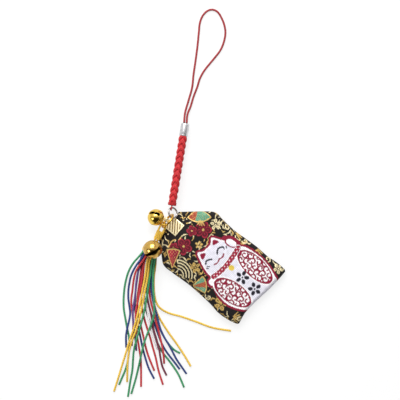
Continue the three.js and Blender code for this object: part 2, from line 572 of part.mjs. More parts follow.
function strapGroup() {
  const strap = new THREE.Group();
  strap.position.copy(strapHook);
  strap.rotation.set(-strapDip, 0, radians(STRAP_HEADING_DEG), 'ZXY');
  strap.updateMatrixWorld();
  strap.add(
    piece('strap_end_cap', strapEndCap(), finish(PLAIT_RED, 0.7, 0)),
    piece('strap_plait', strapPlait(), finish(PLAIT_RED, 0.7, 0)),
    piece('strap_ferrule', strapFerrule(), finish(SILVER, 0.25, 1)),
    piece('loop_cord', loopCord(strap), finish(LOOP_RED, 0.75, 0)),
  );
  return strap;
}

// Bell, about its own centre with its slit at +Z and its wire loop at -Z.
function halfShell(radius) {
  const inner = radius - BELL_WALL;
  const arc = (r) => {
    const low = Math.asin(BELL_SEAM / 2 / r);
    return Array.from({ length: ARC_STEPS + 1 }, (_, i) => {
      const angle = THREE.MathUtils.lerp(low, Math.PI / 2, i / ARC_STEPS);
      return [i === ARC_STEPS ? 0 : r * Math.cos(angle), r * Math.sin(angle)];
    });
  };
  return turned([...arc(inner).reverse(), ...arc(radius)]);
}

function bellCup(radius) {
  const angle = radians(BELL_SLIT_HALF_DEG);
  const reach = radius * Math.sin(angle);
  const half = BELL_SLIT / 2;
  const tools = [block(-reach, reach, -half, half, radius * Math.cos(angle), 2 * radius)];
  for (const turn of [-angle, angle]) {
    tools.push(rod(BELL_SLIT_HOLE, radius / 2, 2 * radius, PIN_SIDES).rotateY(turn));
  }
  return cut(halfShell(radius), ...tools);
}

function bellDome(radius) {
  const shell = halfShell(radius).rotateX(Math.PI);
  return cut(shell, rod(BELL_STEM + THREAD_GAP, -2 * radius, -radius / 2, PIN_SIDES));
}

function bellLoopRise(hole) {
  return hole + 2 * BELL_LOOP_WIRE + THREAD_GAP / 2;
}

function bellLoop(radius, hole) {
  const eye = wireRing(hole + BELL_LOOP_WIRE, BELL_LOOP_WIRE, EYE_STEPS).rotateX(Math.PI / 2);
  eye.translate(0, 0, -radius - bellLoopRise(hole));
  const inside = -radius + BELL_WALL + THREAD_GAP / 2;
  const foot = -radius - THREAD_GAP / 2 - BELL_LOOP_WIRE;
  const stem = rod(BELL_STEM, foot, inside + BELL_LOOP_WIRE / 2, PIN_SIDES);
  const head = rod(2 * BELL_STEM, inside, inside + BELL_LOOP_WIRE, PIN_SIDES);
  return join(eye, stem, head);
}

// A bell hung by its loop at a hook point: its axis runs from the hook to the slit.
function bell(name, radius, hole, hook, axis, slit, threaded) {
  const reach = radius + bellLoopRise(hole);
  const centre = hook.clone().addScaledVector(axis.clone().normalize(), reach);
  const group = alongAxis(centre, axis, slit);
  const loop = piece(`${name}_loop`, bellLoop(radius, hole), finish(GOLD, 0.3, 1));
  const threadedHere = threaded.clone().applyQuaternion(group.quaternion.clone().invert());
  loop.rotation.z = Math.atan2(threadedHere.y, threadedHere.x) - Math.PI / 2;
  group.add(
    piece(`${name}_dome`, bellDome(radius), finish(GOLD, 0.22, 1)),
    piece(`${name}_cup`, bellCup(radius), finish(GOLD, 0.22, 1)),
    loop,
  );
  const ball = piece(`${name}_pellet`,
    new THREE.SphereGeometry(PELLET_RADIUS, BALL_SIDES, BALL_SIDES / 2), finish(SILVER, 0.4, 1));
  ball.position.copy(centre);
  ball.position.z -= radius - BELL_WALL - BELL_LOOP_WIRE - PELLET_RADIUS - THREAD_GAP;
  return [group, ball];
}

// First bell: threaded on the gold ring beside the eye, with its slit tipped up.
function firstBell() {
  const hole = RING_WIRE + CLEARANCE;
  const hook = ringPoint(BELL_1_HOOK_DEG);
  const axis = new THREE.Vector3(0, 1, 0)
    .applyAxisAngle(new THREE.Vector3(1, 0, 0), radians(BELL_1_TILT_DEG))
    .applyAxisAngle(UP, radians(BELL_1_YAW_DEG));
  const slit = new THREE.Vector3(0.56, -0.46, 0.68);
  return bell('bell_1', BELL_1_RADIUS, hole, hook, axis, slit, ringTangent(BELL_1_HOOK_DEG));
}

// Tassel, about the gold ring's left end, with its own +Y away from the cords.
const fanTurn = radians(TASSEL_FAN_DEG);
const rootLength = BINDING_LENGTH + 2 * CORD_END;

function slotPoint(column, layer, back) {
  const across = (column - (TASSEL_COLUMNS - 1) / 2) * TASSEL_PITCH;
  return new THREE.Vector3(
    TASSEL_ROOT.x + across * Math.cos(fanTurn) - back * Math.sin(fanTurn),
    TASSEL_ROOT.y + across * Math.sin(fanTurn) + back * Math.cos(fanTurn),
    TASSEL_FIRST_LAYER + layer * TASSEL_PITCH);
}

function strand({ name, colour, slot, route }) {
  const points = [
    slotPoint(...slot, rootLength),
    slotPoint(...slot, 0),
    ...route.map((point) => new THREE.Vector3(...point)),
  ];
  return piece(name, cord(points, TASSEL_CORD_RADIUS), finish(colour, 0.75, 0));
}

// A rounded band round the cords' roots.
function tasselBinding() {
  const spare = TASSEL_CORD_RADIUS + BINDING_GAP;
  const half = (TASSEL_COLUMNS - 1) / 2 * TASSEL_PITCH + spare;
  const tall = (TASSEL_LAYERS - 1) / 2 * TASSEL_PITCH + spare;
  const rounded = (shape, grow, corner) => {
    const x = half + grow - corner;
    const y = tall + grow - corner;
    shape.absarc(x, y, corner, 0, Math.PI / 2, false);
    shape.absarc(-x, y, corner, Math.PI / 2, Math.PI, false);
    shape.absarc(-x, -y, corner, Math.PI, 1.5 * Math.PI, false);
    shape.absarc(x, -y, corner, 1.5 * Math.PI, 2 * Math.PI, false);
    return shape;
  };
  const band = rounded(new THREE.Shape(), BINDING_WALL, spare);
  band.holes.push(rounded(new THREE.Path(), 0, TASSEL_CORD_RADIUS / 2));
  const geometry = new THREE.ExtrudeGeometry(band, {
    depth: BINDING_LENGTH, bevelEnabled: false, curveSegments: 2 * CORD_QUARTER_SIDES,
  });
  geometry.translate(0, 0, -BINDING_LENGTH / 2).rotateX(Math.PI / 2);
  const mesh = piece('tassel_binding', geometry, finish(YELLOW, 0.75, 0));
  mesh.position.copy(slotPoint((TASSEL_COLUMNS - 1) / 2, (TASSEL_LAYERS - 1) / 2, rootLength / 2));
  mesh.rotation.z = fanTurn;
  return mesh;
}

// The hanger: one cord doubled round the gold ring's wire, its two ends at the binding.
function tasselHanger(ringEnd) {
  const turn = RING_WIRE + TASSEL_CORD_RADIUS + THREAD_GAP;
  const run = new THREE.Vector3(BELL_2_HOOK.x, BELL_2_HOOK.y, 0).normalize();
  const side = new THREE.Vector3(-run.y, run.x, 0);
  const start = new THREE.Vector3(0, 0, ringEnd.z);
  const leg = (sign) => {
    const aside = (point, offset) => point.clone().addScaledVector(side, sign * offset);
    const slot = (TASSEL_COLUMNS - 1) / 2 + sign / 2;
    return [
      slotPoint(slot, TASSEL_LAYERS - 1, rootLength + CLEARANCE),
      aside(BELL_2_HOOK, TASSEL_PITCH / 2),
      aside(HANGER_BEND, (TASSEL_PITCH / 2 + turn) / 2),
      aside(start, turn),
      aside(start.clone().addScaledVector(run, -turn * Math.SQRT1_2), turn * Math.SQRT1_2),
    ];
  };
  const points = [
    ...leg(1),
    start.clone().addScaledVector(run, -turn),
    ...leg(-1).reverse(),
  ];
  const step = HANGER_STEP_RADII * TASSEL_CORD_RADIUS;
  return piece('tassel_hanger', cord(points, TASSEL_CORD_RADIUS, step), finish(YELLOW, 0.75, 0));
}

function tasselGroup() {
  const ringEnd = ringPoint(180);
  const tassel = new THREE.Group();
  const shoulderTurn = Math.atan2(-SHOULDER_LENGTH, -(HALF_WIDTH - MOUTH_WIDTH / 2));
  tassel.position.set(ringEnd.x, ringEnd.y, 0);
  tassel.rotation.z = shoulderTurn + radians(TASSEL_SPLAY_DEG);
  tassel.add(tasselHanger(ringEnd), tasselBinding(), ...STRANDS.map(strand));
  const hole = TASSEL_PITCH / 2 + TASSEL_CORD_RADIUS + CLEARANCE;
  const slit = new THREE.Vector3(0.87, 0.42, 0.25);
  const threaded = HANGER_BEND.clone().sub(BELL_2_HOOK);
  tassel.add(...bell('bell_2', BELL_2_RADIUS, hole, BELL_2_HOOK, BELL_2_AXIS, slit, threaded));
  return tassel;
}

function pouchGroup() {
  const cardFloor = POUCH_WALL + CLEARANCE;
  const slipFloor = cardFloor + CARD_THICKNESS + CLEARANCE;
  const pouch = new THREE.Group();
  const card = piece('inner_card', innerCard(), finish(CARD, 0.9, 0));
  card.position.z = cardFloor;
  const slip = piece('prayer_slip', block(-SLIP_WIDTH / 2, SLIP_WIDTH / 2, -SLIP_LENGTH / 2,
    SLIP_LENGTH / 2, 0, SLIP_THICKNESS), finish(PAPER, 0.9, 0));
  slip.position.z = slipFloor;
  pouch.add(
    piece('pouch_bag', pouchShell(), finish(BROCADE, 0.8, 0)),
    card,
    slip,
    piece('top_clamp', topClamp(), finish(GOLD, 0.3, 1)),
  );
  return pouch;
}

const charm = new THREE.Group();
charm.name = 'omamori_charm';
charm.add(pouchGroup(), goldRing(), silverRing(), strapGroup(), ...firstBell(), tasselGroup());
charm.rotation.z = radians(POUCH_TURN_DEG);

export default charm;
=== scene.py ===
"""Looks of the omamori charm: brocade pouch, gold fittings, plaited strap, bells and cord tassel.

Sizes are in millimetres where a name says so, and every mesh is built in metres in the frame of
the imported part. The charm lies on its back on a table top at z = 0, as it was photographed from
straight above.
"""

from __future__ import annotations

import json
import logging
import math
from contextlib import contextmanager
from dataclasses import dataclass, field
from enum import Enum
from typing import Callable, Iterator, Sequence

import bpy
import numpy as np
from mathutils import Matrix, Vector

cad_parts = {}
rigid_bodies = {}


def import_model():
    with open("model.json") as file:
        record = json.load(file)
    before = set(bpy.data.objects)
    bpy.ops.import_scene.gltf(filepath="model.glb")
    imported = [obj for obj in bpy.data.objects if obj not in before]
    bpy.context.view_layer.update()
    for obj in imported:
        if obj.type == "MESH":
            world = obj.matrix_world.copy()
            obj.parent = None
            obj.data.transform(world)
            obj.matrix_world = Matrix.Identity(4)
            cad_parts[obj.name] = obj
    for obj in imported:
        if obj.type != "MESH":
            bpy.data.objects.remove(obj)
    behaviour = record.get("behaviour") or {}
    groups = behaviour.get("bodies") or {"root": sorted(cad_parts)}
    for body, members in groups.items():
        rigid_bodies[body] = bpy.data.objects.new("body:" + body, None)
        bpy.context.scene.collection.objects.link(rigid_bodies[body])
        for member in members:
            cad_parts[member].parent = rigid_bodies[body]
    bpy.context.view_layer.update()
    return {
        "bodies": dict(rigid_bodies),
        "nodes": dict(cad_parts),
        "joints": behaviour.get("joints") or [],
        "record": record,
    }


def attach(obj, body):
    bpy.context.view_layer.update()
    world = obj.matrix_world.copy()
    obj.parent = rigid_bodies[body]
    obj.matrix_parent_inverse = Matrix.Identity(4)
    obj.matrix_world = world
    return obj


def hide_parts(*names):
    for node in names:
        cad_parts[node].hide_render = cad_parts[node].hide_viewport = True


LOG = logging.getLogger("omamori_charm")
MM = 0.001
TAU = 2 * math.pi
WAVE_RADIANS = 20  # What a wave texture of scale one turns through in one unit.

Point = tuple[float, float, float]
Flat = tuple[float, float]
Piece = bpy.types.Object


class Body(Enum):
    """Moving bodies of the charm."""

    POUCH = "pouch"
    RING = "ring"
    LINK = "link"
    STRAP = "strap"
    LOOP = "loop"
    BELL_1 = "bell_1"
    BELL_2 = "bell_2"
    TASSEL = "tassel"


class Thread(Enum):
    """Threads that the brocade is woven from, as sRGB hex."""

    GROUND = "171312"
    GOLD = "dcb76a"
    PALE_GOLD = "f3e3b4"
    RED = "a2243a"
    DEEP_RED = "5e1322"
    MAROON = "8d1735"
    ORANGE = "a54a34"
    TEAL = "5c9c80"
    WHITE = "fdfbfd"
    LILAC = "e9e7f2"
    PINK = "efdbe4"
    INK = "24222f"
    YELLOW = "e4c84c"


METAL_THREADS = (Thread.GOLD, Thread.PALE_GOLD)
LINE_STEP = 0.7  # Spacing of the points on a woven line, in millimetres.
LEAF_REACH = (18, 28)  # How far leaves are strewn from the middle, across and along the cloth.


def linear(hex_colour: str) -> tuple[float, float, float, float]:
    """Turn an sRGB hex colour into linear RGBA.

    Args:
        hex_colour: Colour as six hex digits.

    Returns:
        Linear red, green and blue, and an alpha of one.
    """
    parts = [int(hex_colour[i : i + 2], 16) / 255 for i in (0, 2, 4)]
    low = [c / 12.92 if c <= 0.04045 else ((c + 0.055) / 1.055) ** 2.4 for c in parts]
    return (low[0], low[1], low[2], 1.0)


def feed(node: bpy.types.Node, inputs: dict) -> None:
    """Set a node's inputs.

    Args:
        node: The node.
        inputs: Input name or number to a value, or to the output socket that feeds it.
    """
    for key, value in inputs.items():
        if isinstance(value, bpy.types.NodeSocket):
            node.id_data.links.new(value, node.inputs[key])
        else:
            node.inputs[key].default_value = value


def add_node(
    tree: bpy.types.NodeTree, kind: str, inputs: dict | None = None,
    stops: Sequence[tuple[float, str]] = (), **settings: object
) -> bpy.types.Node:
    """Add one node with its settings, input values, incoming links and ramp colours.

    Args:
        tree: Node tree that gets the node.
        kind: Blender's type name of the node, without its ShaderNode prefix.
        inputs: Input name or number to a value, or to the output socket that feeds it.
        stops: Place and sRGB hex colour of each stop, for a colour ramp.
        **settings: Attributes of the node, such as its operation.

    Returns:
        The new node.
    """
    node = tree.nodes.new(f"ShaderNode{kind}")
    for name, value in settings.items():
        setattr(node, name, value)
    for i, (place, colour) in enumerate(stops):
        node.color_ramp.elements[i].position = place
        node.color_ramp.elements[i].color = linear(colour)
    feed(node, inputs or {})
    return node


def deselect_all() -> None:
    """Leave object mode with nothing selected."""
    if bpy.context.object and bpy.context.object.mode != "OBJECT":
        bpy.ops.object.mode_set(mode="OBJECT")
    bpy.ops.object.select_all(action="DESELECT")


def make_active(piece: Piece) -> None:
    """Select one piece alone and make it active.

    Args:
        piece: The piece.
    """
    deselect_all()
    piece.select_set(True)
    bpy.context.view_layer.objects.active = piece


@contextmanager
def editing(piece: Piece) -> Iterator[None]:
    """Hold a piece in edit mode, with all of it selected at the start.

    Args:
        piece: Mesh object to edit.

    Yields:
        Nothing: the operators act on the piece while the block runs.
    """
    make_active(piece)
    bpy.ops.object.mode_set(mode="EDIT")
    bpy.ops.mesh.select_all(action="SELECT")
    yield
    bpy.ops.object.mode_set(mode="OBJECT")


@contextmanager
def editing_faces(piece: Piece, chosen: Callable[[bpy.types.MeshPolygon], bool]) -> Iterator[None]:
    """Hold a piece in edit mode, with only some of its faces selected at the start.

    Args:
        piece: Mesh object to edit.
        chosen: Says of each face whether it is selected.

    Yields:
        Nothing: the operators act on the piece while the block runs.
    """
    with editing(piece):
        bpy.ops.mesh.select_mode(type="FACE")
        bpy.ops.mesh.select_all(action="DESELECT")
    for polygon in piece.data.polygons:
        polygon.select = chosen(polygon)
    make_active(piece)
    bpy.ops.object.mode_set(mode="EDIT")
    yield
    bpy.ops.mesh.select_mode(type="VERT")
    bpy.ops.object.mode_set(mode="OBJECT")


def name_new(name: str) -> Piece:
    """Name the object that an operator has just added.

    Args:
        name: Name of the piece, also given to its mesh.

    Returns:
        The new object.
    """
    piece = bpy.context.object
    piece.name = name
    piece.data.name = name
    return piece


def join_pieces(first: Piece, *others: Piece) -> Piece:
    """Join pieces into the first of them.

    Args:
        first: Piece that takes in the others and keeps its name.
        others: Pieces that become part of it.

    Returns:
        The first piece.
    """
    make_active(first)
    for other in others:
        other.select_set(True)
    bpy.ops.object.join()
    return first


def put(piece: Piece, place: Matrix) -> None:
    """Move a piece's mesh to its place and leave its object at the origin.

    Args:
        piece: The piece.
        place: Where it goes from where it is.
    """
    piece.data.transform(place @ piece.matrix_world)
    piece.matrix_world = Matrix.Identity(4)
    piece.data.update()


def smooth(piece: Piece, degrees: float = 35.0) -> None:
    """Shade a piece smooth, with edges sharper than an angle kept crisp."""
    make_active(piece)
    bpy.ops.object.shade_smooth_by_angle(angle=math.radians(degrees))


def apply_modifier(piece: Piece, kind: str, **settings: object) -> None:
    """Add one modifier to a piece and apply it.

    Args:
        piece: Mesh object.
        kind: Blender's type name of the modifier.
        **settings: Attributes of the modifier.
    """
    make_active(piece)
    modifier = piece.modifiers.new(kind.lower(), kind)
    for name, value in settings.items():
        setattr(modifier, name, value)
    bpy.ops.object.modifier_apply(modifier=modifier.name)


def basis(origin: Sequence[float], axis: Sequence[float], hint: Sequence[float]) -> Matrix:
    """Make a frame whose +Z is an axis and whose +X is as near as it can be to a hint.

    Args:
        origin: Frame's origin in metres.
        axis: Direction of +Z.
        hint: Direction near +X.

    Returns:
        The frame as a 4 by 4 matrix.
    """
    z = Vector(axis).normalized()
    x = (Vector(hint) - Vector(hint).dot(z) * z).normalized()
    y = z.cross(x)
    turn = Matrix((x, y, z)).transposed().to_4x4()
    return Matrix.Translation(Vector(origin)) @ turn


def through(points: Sequence[Sequence[float]], step: float, closed: bool = False) -> np.ndarray:
    """Run a smooth curve through points, as a cord or a drawn line lies.

    Args:
        points: Points of two or three numbers.
        step: Distance between the curve's points, in the points' own unit.
        closed: Whether the curve returns to its start.

    Returns:
        Points on the curve, evenly enough spaced for drawing.
    """
    knots = np.array(points, float)
    if closed:
        padded = np.vstack([knots[-1], knots, knots[0], knots[1]])
    else:
        padded = np.vstack([2 * knots[0] - knots[1], knots, 2 * knots[-1] - knots[-2]])
    curve = []
    for before, start, end, after in zip(padded, padded[1:], padded[2:], padded[3:]):
        gaps = [max(np.linalg.norm(b - a), 1e-9) ** 0.5 for a, b in
                ((before, start), (start, end), (end, after))]
        lead = (start - before) / gaps[0] - (end - before) / (gaps[0] + gaps[1])
        lead = (lead + (end - start) / gaps[1]) * gaps[1]
        tail = (end - start) / gaps[1] - (after - start) / (gaps[1] + gaps[2])
        tail = (tail + (after - end) / gaps[2]) * gaps[1]
        count = max(1, round(float(np.linalg.norm(end - start)) / step))
        for t in np.arange(count) / count:
            square, cube = t * t, t * t * t
            curve.append(start * (2 * cube - 3 * square + 1) + lead * (cube - 2 * square + t)
                         + end * (3 * square - 2 * cube) + tail * (cube - square))
    if not closed:
        curve.append(knots[-1])
    return np.array(curve)


def run_along(points: np.ndarray) -> np.ndarray:
    """Distance of each point of a line from its start, measured along it."""
    return np.concatenate([[0.0], np.cumsum(np.linalg.norm(np.diff(points, axis=0), axis=1))])


def quarter_round(share: np.ndarray | float) -> np.ndarray:
    """Rise of a quarter circle, from 0 at its foot to 1 where it runs level."""
    return np.sqrt(1 - (1 - np.clip(share, 0, 1)) ** 2)


def soft_square(angle: float, power: int) -> float:
    """Reach of a square with rounded corners, which a higher power makes sharper."""
    return (abs(math.cos(angle)) ** power + abs(math.sin(angle)) ** power) ** (-1 / power)


@dataclass(frozen=True)
class Finish:
    """A finish: one procedural material under its maker's name."""

    name: str

    def shader(self) -> tuple[bpy.types.Material, bpy.types.NodeTree, bpy.types.Node]:
        """Start a material.

        Returns:
            The material, its node tree and its main shader.
        """
        material = bpy.data.materials.new(self.name)
        material.use_nodes = True
        tree = material.node_tree
        return material, tree, tree.nodes["Principled BSDF"]

    def material(self) -> bpy.types.Material:
        """Make the material."""
        return self.shader()[0]

    def dress(self, *pieces: Piece) -> None:
        """Give one new material of this finish to pieces."""
        material = self.material()
        for piece in pieces:
            piece.data.materials.clear()
            piece.data.materials.append(material)


@dataclass(frozen=True)
class BrocadeFinish(Finish):
    """Silk brocade: a dark satin ground with figures of dyed silk and flat gilt thread.

    The ground is matt with a low sheen, and the gilt threads glint. Real threads lie about
    0.15 mm apart, which is too fine to show, so the weave is drawn at 0.7 mm.
    """

    weave_mm: float = 0.7
    slub_mm: float = 1.8

    def material(self) -> bpy.types.Material:
        """Make the brocade from the cloth's woven colours and its weave.

        Returns:
            The finished material.
        """
        material, tree, shader = self.shader()
        cloth = add_node(tree, "UVMap", uv_map="cloth").outputs[0]
        figure = add_node(tree, "Attribute", attribute_name="figure").outputs["Color"]
        gilt = add_node(tree, "Attribute", attribute_name="gilt").outputs["Fac"]
        scale = TAU / WAVE_RADIANS / self.weave_mm
        warp, weft = (
            add_node(tree, "TexWave", {"Vector": cloth, "Scale": scale},
                     bands_direction=way).outputs["Fac"]
            for way in ("X", "Y")
        )
        weave = add_node(tree, "Math", {0: warp, 1: weft}, operation="MULTIPLY").outputs[0]
        slub = add_node(tree, "TexNoise",
                        {"Vector": cloth, "Scale": 1 / self.slub_mm, "Detail": 4.0})
        # The weave lightens the colour on the threads and darkens it between them: painted light
        # and shade of the weave's relief, on top of the bump.
        depth = add_node(tree, "MapRange", {"Value": weave, "To Min": 0.76, "To Max": 1.16})
        tone = add_node(tree, "MapRange",
                        {"Value": slub.outputs["Fac"], "From Min": 0.3, "From Max": 0.7,
                         "To Min": 0.88, "To Max": 1.12})
        both = add_node(tree, "Math", {0: depth.outputs[0], 1: tone.outputs[0]},
                        operation="MULTIPLY")
        colour = add_node(tree, "VectorMath", {0: figure, "Scale": both.outputs[0]},
                          operation="SCALE")
        glint = add_node(tree, "MapRange", {"Value": gilt, "To Min": 0.0, "To Max": 0.25})
        rough = add_node(tree, "MapRange", {"Value": gilt, "To Min": 0.78, "To Max": 0.38})
        bump = add_node(tree, "Bump", {"Height": weave, "Strength": 0.35, "Distance": 0.12 * MM})
        feed(shader, {"Base Color": colour.outputs[0], "Metallic": glint.outputs[0],
                      "Roughness": rough.outputs[0], "Normal": bump.outputs[0],
                      "Sheen Weight": 0.02, "Sheen Roughness": 0.5, "Specular IOR Level": 0.25})
        return material


@dataclass(frozen=True)
class YarnFinish(Finish):
    """Twisted silk-look cord: soft, with painted shade in the grooves between its plies and stray
    pale fibres.
    """

    colour: str
    groove: str
    plies: int = 3
    lay_mm: float = 2.6
    sheen: float = 0.25
    fibre_mm: float = 0.9

    def material(self) -> bpy.types.Material:
        """Make the yarn, whose grooves follow the cord's own twist.

        Returns:
            The finished material.
        """
        material, tree, shader = self.shader()
        lay = add_node(tree, "UVMap", uv_map="lay")
        place = add_node(tree, "TexCoord")
        turn = TAU * self.plies
        angle = add_node(tree, "VectorMath",
                         {0: lay.outputs[0], 1: (-turn / self.lay_mm, turn, 0.0)},
                         operation="DOT_PRODUCT")
        crest = add_node(tree, "Math", {0: angle.outputs["Value"]}, operation="COSINE")
        fibre = add_node(tree, "TexNoise",
                         {"Vector": place.outputs["Object"], "Scale": 1 / (self.fibre_mm * MM),
                          "Detail": 5.0})
        mixed = add_node(tree, "Math",
                         {0: fibre.outputs["Fac"], 1: 1.6, 2: crest.outputs[0]},
                         operation="MULTIPLY_ADD")
        level = add_node(tree, "MapRange",
                         {"Value": mixed.outputs[0], "From Min": -0.5, "From Max": 1.9})
        # The ramp runs from the groove colour between the plies to the yarn's own colour on their
        # crests: painted shade in the grooves.
        ramp = add_node(tree, "ValToRGB", {0: level.outputs[0]},
                        stops=((0.0, self.groove), (0.62, self.colour)))
        bump = add_node(tree, "Bump",
                        {"Height": mixed.outputs[0], "Strength": 0.4, "Distance": 0.06 * MM})
        feed(shader, {"Base Color": ramp.outputs["Color"], "Normal": bump.outputs[0],
                      "Roughness": 0.72, "Sheen Weight": self.sheen, "Sheen Roughness": 0.4})
        return material


@dataclass(frozen=True)
class PlatedFinish(Finish):
    """Plated brass or steel, pressed and barrel polished: a clear mirror with handling marks."""

    colour: str
    tarnish: str
    roughness: float
    mark_mm: float = 1.4

    def material(self) -> bpy.types.Material:
        """Make the plating, a little warmer and duller in patches.

        Returns:
            The finished material.
        """
        material, tree, shader = self.shader()
        place = add_node(tree, "TexCoord")
        cloud = add_node(tree, "TexNoise",
                         {"Vector": place.outputs["Object"], "Scale": 1 / (self.mark_mm * MM),
                          "Detail": 6.0, "Roughness": 0.6}).outputs["Fac"]
        ramp = add_node(tree, "ValToRGB", {0: cloud},
                        stops=((0.2, self.tarnish), (0.52, self.colour)))
        dull = add_node(tree, "MapRange",
                        {"Value": cloud, "From Min": 0.3, "From Max": 0.75,
                         "To Min": self.roughness + 0.1, "To Max": self.roughness})
        bump = add_node(tree, "Bump", {"Height": cloud, "Strength": 0.08, "Distance": 0.02 * MM})
        feed(shader, {"Base Color": ramp.outputs["Color"], "Roughness": dull.outputs[0],
                      "Normal": bump.outputs[0], "Metallic": 1.0})
        return material


@dataclass(frozen=True)
class RibbedGiltFinish(Finish):
    """Pressed gilt sheet with slanting ribs inside a plain border: pale crests, with brown painted
    shade in the furrows.
    """

    turn_deg: float
    centre_mm: Flat
    half_mm: Flat
    crest: str = "f3e5b8"
    furrow: str = "6f4d1c"
    rib_mm: float = 1.12
    slant_deg: float = 3.0
    border_mm: float = 0.5

    def material(self) -> bpy.types.Material:
        """Make the ribbed sheet, with its ribs along the charm's own length.

        Returns:
            The finished material.
        """
        material, tree, shader = self.shader()
        place = add_node(tree, "TexCoord").outputs["Object"]
        slanted = add_node(tree, "VectorRotate",
                           {"Vector": place, "Angle": math.radians(self.slant_deg)},
                           rotation_type="Z_AXIS")
        ribs = add_node(tree, "TexWave",
                        {"Vector": slanted.outputs[0], "Distortion": 0.1, "Detail": 1.0,
                         "Scale": TAU / WAVE_RADIANS / (self.rib_mm * MM)}, bands_direction="X")
        centre = (self.centre_mm[0] * MM, self.centre_mm[1] * MM, 0.0)
        moved = add_node(tree, "VectorMath", {0: place, 1: centre}, operation="SUBTRACT")
        own = add_node(tree, "VectorRotate",
                       {"Vector": moved.outputs[0], "Angle": -math.radians(self.turn_deg)},
                       rotation_type="Z_AXIS")
        size = add_node(tree, "VectorMath", {0: own.outputs[0]}, operation="ABSOLUTE")
        sides = add_node(tree, "SeparateXYZ", {0: size.outputs[0]})
        furrow = add_node(tree, "Math", {0: 1.0, 1: ribs.outputs["Fac"]},
                          operation="SUBTRACT").outputs[0]
        for side, half in zip(("X", "Y"), self.half_mm):
            edge = (half - self.border_mm) * MM
            inside = add_node(tree, "Math", {0: sides.outputs[side], 1: edge},
                              operation="LESS_THAN")
            furrow = add_node(tree, "Math", {0: furrow, 1: inside.outputs[0]},
                              operation="MULTIPLY").outputs[0]
        # The furrows take the brown colour: painted shade between the ribs.
        ramp = add_node(tree, "ValToRGB", {0: furrow},
                        stops=((0.5, self.crest), (0.85, self.furrow)))
        bump = add_node(tree, "Bump",
                        {"Height": furrow, "Strength": 0.8, "Distance": 0.15 * MM}, invert=True)
        feed(shader, {"Base Color": ramp.outputs["Color"], "Normal": bump.outputs[0],
                      "Metallic": 0.45, "Roughness": 0.36})
        return material


@dataclass(frozen=True)
class PaperFinish(Finish):
    """Uncoated card or washi paper: matt, with long fibres in the sheet."""

    colour: str = "efe9db"
    fibre: str = "d9cfb8"
    fibre_mm: float = 2.0

    def material(self) -> bpy.types.Material:
        """Make the paper.

        Returns:
            The finished material.
        """
        material, tree, shader = self.shader()
        place = add_node(tree, "TexCoord")
        pulp = add_node(tree, "TexNoise",
                        {"Vector": place.outputs["Object"], "Scale": 1 / (self.fibre_mm * MM),
                         "Detail": 8.0, "Distortion": 1.2})
        ramp = add_node(tree, "ValToRGB", {0: pulp.outputs["Fac"]},
                        stops=((0.0, self.fibre), (1.0, self.colour)))
        feed(shader, {"Base Color": ramp.outputs["Color"], "Roughness": 0.9})
        return material


@dataclass(frozen=True)
class TableFinish(Finish):
    """White laminate table: even, matt, and it keeps the charm's soft shadow."""

    colour: str = "f8f8f8"
    paleness: float = 0.8
    grain_mm: float = 4.0

    def material(self) -> bpy.types.Material:
        """Make the table top, which is paler to the camera than to the charm.

        Returns:
            The finished material.
        """
        material, tree, shader = self.shader()
        place = add_node(tree, "TexCoord")
        grain = add_node(tree, "TexNoise",
                         {"Vector": place.outputs["Object"], "Scale": 1 / (self.grain_mm * MM),
                          "Detail": 3.0})
        bump = add_node(tree, "Bump",
                        {"Height": grain.outputs["Fac"], "Strength": 0.02, "Distance": 0.02 * MM})
        feed(shader, {"Base Color": linear(self.colour), "Normal": bump.outputs[0],
                      "Roughness": 0.85, "Specular IOR Level": 0.1})
        ray = add_node(tree, "LightPath")
        seen = ray.outputs["Is Camera Ray"]
        for name in ("Is Glossy Ray", "Is Transmission Ray"):
            seen = add_node(tree, "Math", {0: seen, 1: ray.outputs[name]},
                            operation="MAXIMUM").outputs[0]
        part = add_node(tree, "Math", {0: seen, 1: self.paleness}, operation="MULTIPLY")
        glow = add_node(tree, "Emission", {"Color": linear("ffffff"), "Strength": 1.0})
        both = add_node(tree, "MixShader",
                        {0: part.outputs[0], 1: shader.outputs[0], 2: glow.outputs[0]})
        feed(tree.nodes["Material Output"], {"Surface": both.outputs[0]})
        return material


GOLD_PLATE = PlatedFinish("gold_plated_brass", colour="efca5e", tarnish="b08a30", roughness=0.12)
# A darker, browner copy of the gold plate, used on the lower bell alone.
BROWNER_GOLD = PlatedFinish("browner_gold_plate", colour="d2aa58", tarnish="7f5b28", roughness=0.14)
# Dark brass for the bells' inner faces: painted shade, which makes the slit read black.
SHADED_INNER_BRASS = PlatedFinish("painted_shade_inner_brass", colour="4a3a1c", tarnish="1f170a", roughness=0.5)
RING_GOLD = PlatedFinish("gold_plated_wire", colour="d9aa4a", tarnish="95671f", roughness=0.16)
NICKEL_PLATE = PlatedFinish("nickel_plated_steel", colour="d4d4d6", tarnish="9a9aa0",
                            roughness=0.16)
RING_NICKEL = PlatedFinish("nickel_plated_wire", colour="a8a29f", tarnish="6a6461", roughness=0.22)
BARE_STEEL = PlatedFinish("bright_steel_shot", colour="b9babd", tarnish="808388", roughness=0.3)


